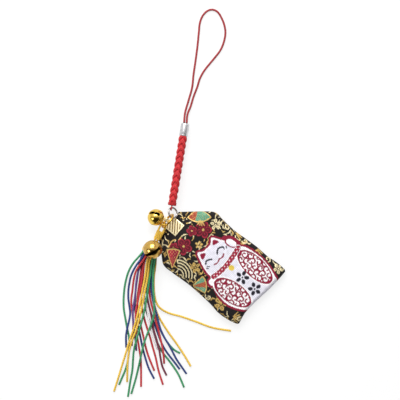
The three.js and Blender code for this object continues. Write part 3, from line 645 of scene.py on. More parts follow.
def lathe(name: str, profile_mm: Sequence[Flat], steps: int = 48) -> Piece:
    """Turn a piece about +Z: one vertex is drawn along the profile and the line is spun.

    Args:
        name: Name of the piece.
        profile_mm: Radius and height of each point of the profile, in millimetres.
        steps: Facets round the turn.

    Returns:
        The turned piece at the origin.
    """
    deselect_all()
    bpy.ops.mesh.primitive_plane_add(size=MM)
    piece = name_new(name)
    start = Vector((profile_mm[0][0], 0.0, profile_mm[0][1])) * MM
    with editing(piece):
        bpy.ops.mesh.merge(type="CENTER")
        bpy.ops.transform.translate(value=start)
        for (r0, z0), (r1, z1) in zip(profile_mm, profile_mm[1:]):
            step = Vector((r1 - r0, 0.0, z1 - z0)) * MM
            bpy.ops.mesh.extrude_region_move(TRANSFORM_OT_translate={"value": step})
        bpy.ops.mesh.select_all(action="SELECT")
        bpy.ops.mesh.spin(steps=steps, angle=TAU, center=(0, 0, 0), axis=(0, 0, 1))
        bpy.ops.mesh.select_all(action="SELECT")
        bpy.ops.mesh.remove_doubles(threshold=1e-6)
        bpy.ops.mesh.delete_loose()
        bpy.ops.mesh.select_all(action="SELECT")
        bpy.ops.mesh.normals_make_consistent(inside=False)
    return piece


def wire_ring(
    name: str, radius_mm: float, wire_mm: float, split_deg: float, opening_deg: float = 3.0
) -> Piece:
    """Make a bent wire ring in the XY plane, with a fine split where its ends meet.

    Args:
        name: Name of the piece.
        radius_mm: Radius to the middle of the wire.
        wire_mm: Radius of the wire.
        split_deg: Direction of the split, from +X.
        opening_deg: How much of the turn the split takes.

    Returns:
        The ring at the origin.
    """

    def at_split(polygon: bpy.types.MeshPolygon) -> bool:
        """Whether a face lies where the wire is cut."""
        angle = math.degrees(math.atan2(polygon.center.y, polygon.center.x))
        return abs((angle - split_deg + 180) % 360 - 180) < opening_deg / 2

    deselect_all()
    bpy.ops.mesh.primitive_torus_add(
        major_segments=180, minor_segments=16, major_radius=radius_mm * MM,
        minor_radius=wire_mm * MM)
    piece = name_new(name)
    with editing_faces(piece, at_split):
        bpy.ops.mesh.delete(type="FACE")
        bpy.ops.mesh.select_all(action="SELECT")
        bpy.ops.mesh.fill_holes(sides=0)
        bpy.ops.mesh.normals_make_consistent(inside=False)
    smooth(piece)
    return piece


def mesh_piece(
    name: str, points: np.ndarray, faces: Sequence[Sequence[int]], uv: np.ndarray, uv_name: str
) -> Piece:
    """Make a piece from points and faces, with one UV map.

    Args:
        name: Name of the piece.
        points: Its points in metres.
        faces: Point numbers of each face.
        uv: One pair for each corner of each face, in order.
        uv_name: Name of the UV map.

    Returns:
        The new piece, linked to the scene.
    """
    mesh = bpy.data.meshes.new(name)
    mesh.from_pydata([tuple(p) for p in points], [], [tuple(f) for f in faces])
    layer = mesh.uv_layers.new(name=uv_name)
    layer.data.foreach_set("uv", np.asarray(uv, np.float32).ravel())
    mesh.polygons.foreach_set("use_smooth", [True] * len(mesh.polygons))
    mesh.update()
    piece = bpy.data.objects.new(name, mesh)
    bpy.context.scene.collection.objects.link(piece)
    return piece


@dataclass
class TwistedCord:
    """A cord of twisted plies along a smooth route, cut square at its ends.

    A flat cord is wider than it is thick, and a radial one keeps its flat side to the Z axis.
    """

    name: str
    route_mm: np.ndarray
    radius_mm: float
    plies: int = 3
    lay_mm: float = 2.6
    groove: float = 0.2
    sides: int = 12
    step_mm: float = 0.4
    flat: float = 1.0
    radial: bool = False
    path: np.ndarray = field(init=False)

    def __post_init__(self) -> None:
        """Work out the centreline, in metres."""
        self.path = through(self.route_mm, self.step_mm) * MM

    @property
    def along(self) -> np.ndarray:
        """Distance of each point of the centreline from its start, in metres."""
        return run_along(self.path)

    @property
    def length(self) -> float:
        """Length of the centreline in metres."""
        return float(self.along[-1])

    def build(self) -> Piece:
        """Make the cord's mesh, with its lay in a UV map of millimetres along and turns round.

        Returns:
            The cord.
        """
        tangents = np.gradient(self.path, axis=0)
        tangents /= np.linalg.norm(tangents, axis=1)[:, None]
        along = self.along / MM
        normal = Vector(tangents[0]).orthogonal().normalized()
        points = []
        for centre, tangent, distance in zip(self.path, tangents, along):
            tangent = Vector(tangent)
            if self.radial:
                normal = Vector((centre[0], centre[1], 0.0))
            normal = (normal - normal.dot(tangent) * tangent).normalized()
            other = tangent.cross(normal)
            for j in range(self.sides):
                angle = TAU * j / self.sides
                lobe = abs(math.cos(self.plies / 2 * (angle - TAU * distance / self.lay_mm)))
                reach = self.radius_mm * MM * (1 - self.groove * (1 - lobe))
                offset = (normal * math.cos(angle) + other * math.sin(angle) * self.flat) * reach
                points.append(Vector(centre) + offset)
        faces, uv = self.skin(along)
        return mesh_piece(self.name, np.array(points), faces, uv, "lay")

    def skin(self, along: np.ndarray) -> tuple[list[tuple[int, ...]], list[Flat]]:
        """List the cord's faces and their lay.

        Args:
            along: Distance of each ring from the start, in millimetres.

        Returns:
            Faces as point numbers, and the UV pair of each corner.
        """
        faces: list[tuple[int, ...]] = []
        uv: list[Flat] = []
        for i in range(len(along) - 1):
            for j in range(self.sides):
                k = (j + 1) % self.sides
                faces.append((i * self.sides + j, i * self.sides + k,
                              (i + 1) * self.sides + k, (i + 1) * self.sides + j))
                left, right = j / self.sides, (j + 1) / self.sides
                uv += [(along[i], left), (along[i], right),
                       (along[i + 1], right), (along[i + 1], left)]
        last = (len(along) - 1) * self.sides
        faces.append(tuple(reversed(range(self.sides))))
        faces.append(tuple(range(last, last + self.sides)))
        uv += [(along[0], j / self.sides) for j in reversed(range(self.sides))]
        uv += [(along[-1], j / self.sides) for j in range(self.sides)]
        return faces, uv


def fine_thread(name: str, route_mm: np.ndarray, radius_mm: float) -> TwistedCord:
    """Lay a fine two-ply thread along a route."""
    return TwistedCord(name, route_mm, radius_mm, plies=2, lay_mm=1.2, sides=8, step_mm=0.3)


@dataclass
class BrocadeDesign:
    """Figures woven into the pouch's cloth, drawn in millimetres from the middle of its face."""

    across: np.ndarray
    along: np.ndarray
    colour: np.ndarray = field(init=False)
    gilt: np.ndarray = field(init=False)

    def __post_init__(self) -> None:
        """Start with the plain ground."""
        self.colour = np.tile(np.array(linear(Thread.GROUND.value)), (len(self.across), 1))
        self.gilt = np.zeros(len(self.across))

    def weave(self, inside: np.ndarray, thread: Thread) -> None:
        """Weave one thread where a mask is true."""
        self.colour[inside] = linear(thread.value)
        self.gilt[inside] = 1.0 if thread in METAL_THREADS else 0.0

    def from_line(self, points: Sequence[Flat], closed: bool = False) -> np.ndarray:
        """Measure each thread's distance from a smooth line.

        Args:
            points: Points that the line runs through.
            closed: Whether the line is an outline. Distances inside it are then negative.

        Returns:
            Distances in millimetres.
        """
        curve = through(points, LINE_STEP, closed)
        ends = np.roll(curve, -1, axis=0) if closed else curve[1:]
        starts = curve if closed else curve[:-1]
        nearest = np.full(len(self.across), np.inf)
        crossings = np.zeros(len(self.across), int)
        for (x0, y0), (x1, y1) in zip(starts, ends):
            dx, dy = x1 - x0, y1 - y0
            share = (self.across - x0) * dx + (self.along - y0) * dy
            share = np.clip(share / max(dx * dx + dy * dy, 1e-12), 0, 1)
            nearest = np.minimum(nearest, np.hypot(self.across - x0 - share * dx,
                                                   self.along - y0 - share * dy))
            if closed and y0 != y1:
                spans = (self.along < y0) != (self.along < y1)
                crossings += spans & (self.across < x0 + (self.along - y0) * dx / dy)
        return np.where(crossings % 2 == 1, -nearest, nearest) if closed else nearest

    def stroke(self, points: Sequence[Flat], width: float, thread: Thread) -> None:
        """Weave a line of one width."""
        self.weave(self.from_line(points) < width / 2, thread)

    def polar(self, centre: Flat, turn_deg: float = 0.0) -> tuple[np.ndarray, np.ndarray]:
        """Give each thread's distance from a point, and its angle from a direction in radians."""
        x, y = self.across - centre[0], self.along - centre[1]
        return np.hypot(x, y), np.arctan2(y, x) - math.radians(turn_deg)

    def ellipse(self, centre: Flat, radii: Flat, turn_deg: float = 0.0) -> np.ndarray:
        """Measure each thread's rough distance from an ellipse.

        Args:
            centre: Middle of the ellipse.
            radii: Its two half axes.
            turn_deg: Direction of the first of them.

        Returns:
            Distances in millimetres, negative inside the ellipse.
        """
        distance, angle = self.polar(centre, turn_deg)
        share = np.hypot(distance * np.cos(angle) / radii[0], distance * np.sin(angle) / radii[1])
        return (share - 1) * min(radii)

    def margin(self, inside: np.ndarray) -> None:
        """Leave bare ground round a figure before it is woven."""
        self.weave(inside, Thread.GROUND)

    def blossom(
        self, centre: Flat, size: float, petal: Thread, heart: Thread, turn_deg: float
    ) -> None:
        """Weave a five-petalled plum blossom: outlined petals over a darker thread, with stamens.

        Args:
            centre: Middle of the blossom.
            size: Its radius.
            petal: Thread of its outline and stamens.
            heart: Thread inside its petals.
            turn_deg: Direction of its first petal.
        """
        distance, angle = self.polar(centre, turn_deg)
        lobe = np.abs(np.cos(2.5 * angle))
        edge = size * (0.5 + 0.5 * lobe ** 0.6)
        self.margin(distance < edge + 0.45)
        self.weave(distance < edge, heart)
        rim = (distance < edge) & (distance > edge - 0.62) & (lobe > 0.12)
        stamens = np.abs(np.sin(5 * angle)) < 0.42
        stamens &= (distance < 0.6 * size) & (distance > 0.2 * size)
        self.weave(rim | stamens, petal)
        self.weave(distance < 0.14 * size, Thread.GOLD)

    def open_blossom(self, centre: Flat, size: float, petal: Thread, turn_deg: float) -> None:
        """Weave a blossom of separate drop-shaped petals round a bare heart.

        Args:
            centre: Middle of the blossom.
            size: Its radius.
            petal: Thread of its petals.
            turn_deg: Direction of its first petal.
        """
        distance, angle = self.polar(centre, turn_deg)
        lobe = np.abs(np.cos(2.5 * angle))
        edge = size * (0.35 + 0.65 * lobe)
        outer = distance < edge
        self.weave(outer & (distance > 0.3 * size) & (lobe > 0.42), petal)
        vein = outer & (lobe > 0.985) & (distance > 0.42 * size) & (distance < 0.8 * size)
        if size > 2.2:
            self.margin(vein)
        self.weave(distance < 0.14 * size, petal)

    def leaves(self, pitch: float, seed: int, sparse_below: float = -30.0) -> None:
        """Strew thin curved gilt leaves over the ground, as the cloth's small fill pattern.

        Args:
            pitch: Rough distance between leaves.
            seed: Seed of their scatter.
            sparse_below: Height on the face under which most leaves are left out.
        """
        rng = np.random.default_rng(seed)
        columns, rows = (round(reach / pitch) for reach in LEAF_REACH)
        for row in range(-rows, rows + 1):
            for column in range(-columns, columns + 1):
                x = (column + 0.5 * (row % 2) + rng.uniform(-0.33, 0.33)) * pitch
                y = (row + rng.uniform(-0.33, 0.33)) * pitch * 0.9
                turn = rng.uniform(0, TAU)
                size = rng.uniform(0.8, 1.6)
                bow = rng.choice((-1, 1)) * rng.uniform(0.35, 0.8)
                thread = Thread.PALE_GOLD if rng.uniform() > 0.45 else Thread.GOLD
                if rng.uniform() < (0.62 if y < sparse_below else 0.2):
                    continue
                ahead = np.array([math.cos(turn), math.sin(turn)])
                aside = np.array([-ahead[1], ahead[0]]) * bow
                centre = np.array([x, y])
                spine = [centre - ahead * size, centre + aside, centre + ahead * size]
                self.leaf(spine, rng.uniform(0.38, 0.56), thread)

    def leaf(self, points: Sequence[Flat], width: float, thread: Thread) -> None:
        """Weave one leaf: a short stroke, widest in its middle.

        Args:
            points: Points that the leaf's spine runs through.
            width: Its greatest width.
            thread: Its thread.
        """
        middle = np.array(points[len(points) // 2])
        reach = float(np.linalg.norm(np.array(points[0]) - middle))
        share = np.hypot(self.across - middle[0], self.along - middle[1]) / reach
        half = width / 2 * np.clip(1.25 - 0.9 * share, 0.12, 1)
        self.weave(self.from_line(points) < half, thread)

    def fan(self, centre: Flat, radii: Flat, span_deg: Flat, bands: Sequence[Thread]) -> None:
        """Weave a folding fan: bands of leaf from the guard inwards, gilt edges and ribs.

        Args:
            centre: The fan's rivet.
            radii: Inner and outer radius of its leaf.
            span_deg: Directions of its two guards.
            bands: Threads of its bands, from one guard to the other.
        """
        distance, angle = self.polar(centre)
        turn = np.degrees(angle) % 360
        low, high = span_deg
        share = (turn - low) / (high - low)
        leaf = (share > 0) & (share < 1) & (distance > radii[0]) & (distance < radii[1])
        for i, thread in enumerate(bands):
            band = leaf & (share >= i / len(bands)) & (share < (i + 1) / len(bands))
            self.weave(band, thread)
        near = (distance > radii[0] - 0.5) & (distance < radii[1] + 0.5)
        self.margin(near & (share > -0.08) & (share < 1.08) & ~leaf)
        fleck = leaf & (np.sin(distance * 4.2) * np.sin(angle * 34) > 0.72)
        self.weave(fleck, Thread.GOLD)
        rim = leaf & ((distance > radii[1] - 0.45) | (distance < radii[0] + 0.4))
        guard = leaf & (np.minimum(share, 1 - share) * math.radians(high - low) * distance < 0.4)
        self.weave(rim | guard, Thread.GOLD)

    def waves(self, centre: Flat, radii: Flat, span_deg: Flat) -> None:
        """Weave a crest of concentric gilt waves.

        Args:
            centre: Middle of the waves.
            radii: Radius of the innermost and the outermost.
            span_deg: Directions between which they show.
        """
        distance, angle = self.polar(centre)
        turn = (np.degrees(angle) - span_deg[0]) % 360
        inside = (turn < span_deg[1] - span_deg[0]) & (distance > radii[0]) & (distance < radii[1])
        self.margin(inside)
        self.weave(inside & (distance % 1.3 < 0.5), Thread.PALE_GOLD)

    @staticmethod
    def off(centre: Flat, reach: float, turn_deg: float) -> Flat:
        """Step from a point in a direction."""
        angle = math.radians(turn_deg)
        return (centre[0] + reach * math.cos(angle), centre[1] + reach * math.sin(angle))

    def pine(self, centre: Flat, size: float, turn_deg: float) -> None:
        """Weave a spray of gilt pine needles.

        Args:
            centre: Where the needles meet.
            size: Their length.
            turn_deg: Direction of the middle one.
        """
        for offset in (-44, -22, 0, 22, 44):
            needle = np.array(self.off(centre, size, turn_deg + offset)) - centre
            self.stroke([centre + 0.25 * needle, centre + needle], 0.42, Thread.GOLD)

    def curl(self, centre: Flat, size: float, turn_deg: float) -> None:
        """Weave one gilt tendril that curls in on itself."""
        points = [self.off(centre, size * (1 - 0.085 * i), turn_deg + 36 * i) for i in range(10)]
        self.stroke(points, 0.5, Thread.PALE_GOLD)

    def scrolls(self, area: np.ndarray, centre: Flat) -> None:
        """Fill an area with fat maroon scrolls.

        Args:
            area: Where the scrolls are woven.
            centre: Middle of the area.
        """
        pitch = 2.7
        for row in range(-5, 6):
            for column in range(-3, 4):
                heart = (centre[0] + (column + 0.5 * (row % 2)) * pitch,
                         centre[1] + row * pitch * 0.87)
                distance, angle = self.polar(heart, 115 * row + 70 * column)
                spiral = 0.42 + 1.2 * ((angle / TAU) % 1)
                line = (np.abs(distance - spiral) < 0.34) & (distance < 1.72)
                self.weave(area & line, Thread.MAROON)

    def lucky_cat(self) -> None:
        """Weave the beckoning cat: ears, sleeping smile, collar, scrolled sleeves, bare belly."""
        head = self.from_line([
            (-6.4, -3.0), (-6.3, 0.2), (-5.3, 3.0), (-4.1, 5.6), (-2.5, 8.2), (-0.5, 6.6),
            (2.0, 6.3), (4.5, 6.4), (6.6, 7.7), (7.9, 5.0), (9.1, 2.4), (10.3, -0.4),
            (10.8, -3.2), (6.0, -4.0), (2.2, -4.2), (-2.2, -4.0),
        ], closed=True)
        body = self.from_line([
            (-6.2, -4.6), (-9.3, -7.6), (-11.3, -12.0), (-11.6, -16.5), (-10.5, -20.5),
            (-8.3, -24.6), (-6.0, -29.0), (9.0, -29.0), (11.4, -24.4), (12.9, -19.5),
            (13.6, -14.5), (13.4, -9.5), (12.4, -5.6), (10.4, -4.0), (2.2, -4.4),
        ], closed=True)
        raised = self.ellipse((10.5, -0.4), (1.7, 2.9), 12)
        paws = np.minimum(raised, self.ellipse((-8.2, -5.0), (1.6, 1.4)))
        whole = np.minimum(np.minimum(head, body), paws)
        self.weave(whole < 1.15, Thread.MAROON)
        self.weave(whole < 0.2, Thread.WHITE)
        self.weave((head < -0.2) & (head > -0.35), Thread.PINK)
        self.weave(head < -0.55, Thread.LILAC)
        self.weave((body < -0.5) & (head > 0), Thread.LILAC)
        self.weave(np.abs(raised) < 0.26, Thread.MAROON)
        for sleeve, centre in (
            (self.ellipse((-6.3, -15.0), (4.5, 9.2), 5), (-6.3, -15.2)),
            (self.ellipse((8.9, -15.4), (4.3, 9.6), -4), (8.8, -15.4)),
        ):
            self.weave(sleeve < 0.6, Thread.WHITE)
            self.weave(sleeve < 0.2, Thread.MAROON)
            self.weave(sleeve < -0.3, Thread.WHITE)
            self.scrolls(sleeve < -0.2, centre)
        self.cat_face()

    def cat_face(self) -> None:
        """Weave the cat's ears, eyes, mouth, collar, bell and the blossoms on its belly."""
        for ear in ([(-2.4, 7.0), (-3.4, 4.7), (-0.6, 5.5)], [(6.4, 6.6), (7.2, 4.3), (4.6, 5.3)]):
            self.weave(self.from_line(ear, closed=True) < 0.1, Thread.MAROON)
        for eye in (
            [(-4.1, 2.4), (-3.3, 2.95), (-2.4, 2.9), (-1.5, 2.4), (-0.8, 1.7)],
            [(2.7, 1.3), (3.6, 2.1), (4.7, 2.4), (5.8, 2.1), (6.7, 1.3)],
        ):
            self.stroke(eye, 0.72, Thread.INK)
        for x, y, rise in (
            (-5.1, 0.5, -0.37), (-4.2, 0.7, -0.37), (6.5, 0.5, 0.37), (7.6, 0.05, 0.37)
        ):
            self.stroke([(x - 0.25, y - rise), (x + 0.25, y + rise)], 0.46, Thread.INK)
        mouth = [(-1.8, -0.7), (-0.6, -1.3), (0.7, -1.1), (1.5, -0.8), (2.3, -1.2), (3.4, -1.4),
                 (4.5, -0.9)]
        self.stroke(mouth, 0.62, Thread.MAROON)
        collar = self.from_line(
            [(-6.3, -3.9), (-2.4, -4.8), (2.0, -5.1), (6.6, -4.8), (10.7, -4.2)])
        self.weave(collar < 1.35, Thread.WHITE)
        self.weave(collar < 1.1, Thread.MAROON)
        self.weave(collar < 0.72, Thread.RED)
        fleck = np.sin(self.across * 3.6) * np.cos((self.along + 4.8) * 2.9) > 0.62
        self.weave(fleck & (collar < 0.9), Thread.PINK)
        self.weave(self.ellipse((1.9, -7.6), (1.25, 1.25)) < 0, Thread.YELLOW)
        self.stroke([(1.1, -8.0), (2.7, -8.0)], 0.3, Thread.GOLD)
        self.open_blossom((1.7, -14.0), 3.1, Thread.INK, 18)
        self.open_blossom((1.2, -21.6), 3.1, Thread.INK, 54)

    def face(self) -> None:
        """Weave the pouch's whole face."""
        self.leaves(2.2, 7, -5.0)
        for centre, size, turn in (
            ((7.0, 13.0), 3.9, 20), ((3.4, 16.6), 2.5, 55),
            ((-4.3, 15.0), 3.9, 70), ((-7.7, 18.2), 2.5, 10),
        ):
            self.blossom(centre, size, Thread.RED, Thread.DEEP_RED, turn)
        self.fan((-15.6, 12.4), (0.8, 9.4), (16, 56), (Thread.MAROON, Thread.RED))
        self.waves((-16.1, 9.2), (2.2, 7.6), (294, 394))
        self.fan((-16.0, 1.1), (1.0, 7.1), (282, 352), (Thread.TEAL, Thread.ORANGE, Thread.TEAL))
        self.fan((14.3, 21.3), (1.0, 7.6), (172, 266), (Thread.ORANGE, Thread.TEAL, Thread.TEAL))
        for centre, size, petal, turn in (
            ((-13.4, -14.2), 3.2, Thread.GOLD, 15), ((12.4, 10.2), 2.5, Thread.PALE_GOLD, 40),
            ((-8.3, 5.0), 2.4, Thread.GOLD, 60), ((0.6, 10.2), 1.8, Thread.GOLD, 30),
            ((15.0, -24.0), 2.4, Thread.PALE_GOLD, 75),
        ):
            self.open_blossom(centre, size, petal, turn)
        for centre, size, turn in (
            ((15.9, -10.6), 3.6, 250), ((15.0, 0.8), 3.4, 300),
            ((-15.2, -22.0), 3.6, 310), ((10.0, 16.4), 2.6, 200),
        ):
            self.pine(centre, size, turn)
        for centre, size, turn in (
            ((15.0, 5.2), 1.6, 30), ((15.2, -4.6), 1.5, 140), ((15.4, -17.6), 1.5, 220),
            ((-14.8, -8.0), 1.7, 90), ((-13.6, -25.2), 1.4, 10),
        ):
            self.curl(centre, size, turn)
        tendril = [(-9.0, 20.2), (-5.6, 20.6), (-2.6, 18.6), (1.8, 21.6), (5.0, 20.4)]
        self.stroke(tendril, 0.5, Thread.GOLD)
        self.margin((np.abs(self.across) < 4.3) & (self.along > 18.9))
        self.lucky_cat()

    def reverse(self) -> None:
        """Weave the pouch's back, where the same cloth shows its ground repeat."""
        self.leaves(3.0, 11)
        for row in range(-4, 4):
            for column in range(-2, 3):
                centre = (column * 9.0 + 4.5 * (row % 2), row * 7.0)
                kind = (row * 2 + column) % 4
                if kind == 0:
                    self.blossom(centre, 3.4, Thread.RED, Thread.DEEP_RED, 40 * row)
                elif kind == 1:
                    self.open_blossom(centre, 3.2, Thread.GOLD, 25 * column)
                elif kind == 2:
                    self.curl(centre, 1.7, 60 * row)
                else:
                    self.pine(centre, 3.4, 70 * row + 30 * column)


@dataclass
class PouchBag:
    """The brocade pouch: folded at the bottom, sewn at the sides and drawn in at its mouth."""

    turn_deg: float = 50.5
    width: float = 33.3
    length: float = 53.1
    thickness: float = 4.2
    crown: float = 0.7
    mouth_thickness: float = 1.5
    mouth_height: float = 1.5
    taper: float = 10.5
    lip: float = 0.5
    fold: float = 1.8
    fold_height: float = 1.7
    corner: float = 1.6
    corner_draw: float = 0.9
    slack_reach: float = 16.0
    gather: float = 0.22
    gather_turns: float = 15.0
    sag: float = 0.14
    stitch_inset: float = 1.7
    stitch_depth: float = 0.1
    edge_mm: float = 2.4
    cell_mm: float = 0.26
    left_edge: Sequence[Flat] = (
        (-26.55, -15.9), (-24.6, -16.4), (-21.6, -17.1), (-16.2, -17.5), (-10.5, -16.7),
        (-1.5, -16.2), (3.0, -16.2), (10.8, -16.7), (15.8, -16.8), (17.4, -16.2), (21.3, -12.7),
        (26.0, -8.8), (26.55, -8.3),
    )
    right_edge: Sequence[Flat] = (
        (-26.55, 16.6), (-22.0, 16.7), (-16.6, 16.2), (-10.5, 16.4), (-4.9, 16.1), (2.3, 15.7),
        (8.6, 16.1), (12.9, 16.6), (14.6, 16.1), (17.6, 13.9), (21.5, 10.6), (25.5, 7.1),
        (26.55, 6.2),
    )
    hem: Sequence[Flat] = (
        (-17.5, 0.2), (-15.7, 0.2), (-12.8, 0.8), (-9.5, 1.25), (-3.2, 0.8), (4.7, -0.3),
        (11.5, -0.8), (17.2, -0.9),
    )

    @property
    def top(self) -> float:
        """Half of the pouch's length."""
        return self.length / 2

    def place(self) -> Matrix:
        """Turn from the pouch's own frame to the part's frame."""
        return Matrix.Rotation(math.radians(self.turn_deg), 4, "Z")

    def sides(self, rows: np.ndarray) -> tuple[np.ndarray, np.ndarray]:
        """Place the pouch's two sewn sides, drawn in by its gathers and bowed by its filling.

        Args:
            rows: Places along the pouch.

        Returns:
            Left and right side at each place.
        """
        sides = []
        for edge, sign in ((self.left_edge, -1), (self.right_edge, 1)):
            line = through(edge, 0.3)
            place = np.interp(rows, line[:, 0], line[:, 1])
            corner = quarter_round((rows + self.top) / self.corner)
            sides.append(place - sign * self.corner_draw * (1 - corner))
        return sides[0], sides[1]

    def slack(self, x: np.ndarray, y: float) -> np.ndarray:
        """Shift the cloth along the pouch, where its folded bottom hangs unevenly.

        Args:
            x: Places across the pouch.
            y: Place along it.

        Returns:
            The shift at each place.
        """
        line = through(self.hem, 0.3)
        share = max(0.0, 1 - (y + self.top) / self.slack_reach)
        return np.interp(x, line[:, 0], line[:, 1]) * share ** 2

    def heights(self, y: float) -> tuple[float, float, float]:
        """Underside, thickness and crown of the pouch at a place along it.

        Args:
            y: Place along the pouch, from its middle.

        Returns:
            The three heights in millimetres.
        """
        toward_mouth = min(1.0, max(0.0, (y - (self.top - self.taper)) / self.taper))
        eased = toward_mouth * toward_mouth * (3 - 2 * toward_mouth)
        fold = quarter_round((y + self.top) / self.fold)
        tall = fold * self.thickness + (self.mouth_thickness - self.thickness) * eased
        tall *= 0.55 + 0.45 * quarter_round((self.top - y) / self.lip)
        low = (1 - fold) * self.fold_height + eased * (self.mouth_height - self.mouth_thickness / 2)
        return low, tall, self.crown * fold * (1 - eased)

    def columns(self) -> np.ndarray:
        """Place the columns of the face, closer at its rolled edges.

        Returns:
            Shares of the half width.
        """
        edge = self.edge_mm / (self.width / 2)
        inner = np.linspace(-(1 - edge), 1 - edge, round(self.width / self.cell_mm))
        rolled = 1 - edge + edge * np.sin(np.linspace(0, math.pi / 2, 16)[1:])
        return np.concatenate([-rolled[::-1], inner, rolled])

    def skin(self) -> tuple[np.ndarray, np.ndarray, np.ndarray]:
        """Shape the pouch's face and back.

        Returns:
            Grids of points for the face and the back, rows along the pouch, in millimetres, and
            the place of each of them on the cloth laid flat.
        """
        shares = self.columns()
        ends = 1 - np.cos(np.linspace(0, math.pi / 2, 9)[:-1])
        straight = np.linspace(-self.top + self.corner, self.top, round(self.length / self.cell_mm))
        rows = np.concatenate([-self.top + self.corner * ends, straight])
        face, back, cloth, spine = [], [], [], []
        centre, waist = len(shares) // 2, len(rows) // 2
        for y, left, right in zip(rows, *self.sides(rows)):
            half = (right - left) / 2
            low, tall, crown = self.heights(y)
            side = quarter_round((1 - np.abs(shares)) * half / self.edge_mm)
            x = (left + right) / 2 + shares * half
            swell = crown * (1 - shares ** 2)
            drawn = 1.3 * self.taper
            pucker = max(0.0, (y - (self.top - drawn)) / drawn)
            gather = self.gather * pucker * (1 - pucker * 0.6) * np.sin(shares * self.gather_turns)
            sag = self.sag * np.sin(0.33 * y + 0.9) * np.sin(0.21 * x + 0.6)
            inset = (1 - np.abs(shares)) * half - self.stitch_inset
            dent = self.stitch_depth * np.exp(-inset ** 2 / 0.12) * (1 + np.sin(y * 5.2)) / 2
            middle = low + tall / 2
            along = y + self.slack(x, y)
            top = middle + tall / 2 * side + swell + (gather + sag - dent) * side
            face.append(np.stack([x, along, top], 1))
            back.append(np.stack([x, along, middle - tall / 2 * side], 1))
            reach = run_along(np.stack([x, tall / 2 * side], 1))
            cloth.append(np.stack([x[centre] + reach - reach[centre], along], 1))
            spine.append((y, low + tall + crown))
        run = run_along(np.array(spine))
        laid = np.array(cloth)
        laid[..., 1] += (run - run[waist] + rows[waist] - rows)[:, None]
        return np.array(face), np.array(back), laid

    def build(self) -> Piece:
        """Make the pouch as one closed skin, with its woven figures.

        Returns:
            The pouch.
        """
        face, back, cloth = self.skin()
        rows, columns = face.shape[:2]
        front = np.arange(rows * columns).reshape(rows, columns)
        rear = np.empty_like(front)
        rear[:, 0], rear[:, -1] = front[:, 0], front[:, -1]
        rear[:, 1:-1] = rows * columns + np.arange(rows * (columns - 2)).reshape(rows, columns - 2)
        faces = []
        for grid, flip in ((front, False), (rear, True)):
            quads = np.stack([grid[:-1, :-1], grid[:-1, 1:], grid[1:, 1:], grid[1:, :-1]], -1)
            faces += [tuple(q[::-1]) if flip else tuple(q) for q in quads.reshape(-1, 4).tolist()]
        for row, flip in ((0, True), (rows - 1, False)):
            for i in range(columns - 1):
                ring = [front[row, i], front[row, i + 1], rear[row, i + 1], rear[row, i]]
                ring = list(dict.fromkeys(int(p) for p in (ring[::-1] if flip else ring)))
                if len(ring) > 2:
                    faces.append(tuple(ring))
        points = np.vstack([face.reshape(-1, 3), back[:, 1:-1].reshape(-1, 3)])
        laid = np.vstack([cloth.reshape(-1, 2), cloth[:, 1:-1].reshape(-1, 2)])
        design = BrocadeDesign(*laid[:rows * columns].T)
        design.face()
        rear_design = BrocadeDesign(*(laid[rows * columns:] * (-1, 1)).T)
        rear_design.reverse()
        uv = [laid[p] for f in faces for p in f]
        piece = mesh_piece("brocade_pouch", points * MM, faces, np.array(uv), "cloth")
        colour = np.vstack([design.colour, rear_design.colour])
        gilt = np.concatenate([design.gilt, rear_design.gilt])
        mesh = piece.data
        figure = mesh.attributes.new("figure", "FLOAT_COLOR", "POINT")
        figure.data.foreach_set("color", colour.astype(np.float32).ravel())
        thread = mesh.attributes.new("gilt", "FLOAT", "POINT")
        thread.data.foreach_set("value", gilt.astype(np.float32))
        with editing(piece):
            bpy.ops.mesh.remove_doubles(threshold=1e-7)
            bpy.ops.mesh.normals_make_consistent(inside=False)
        put(piece, self.place())
        BrocadeFinish("silk_brocade").dress(piece)
        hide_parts("pouch_bag")
        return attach(piece, Body.POUCH.value)


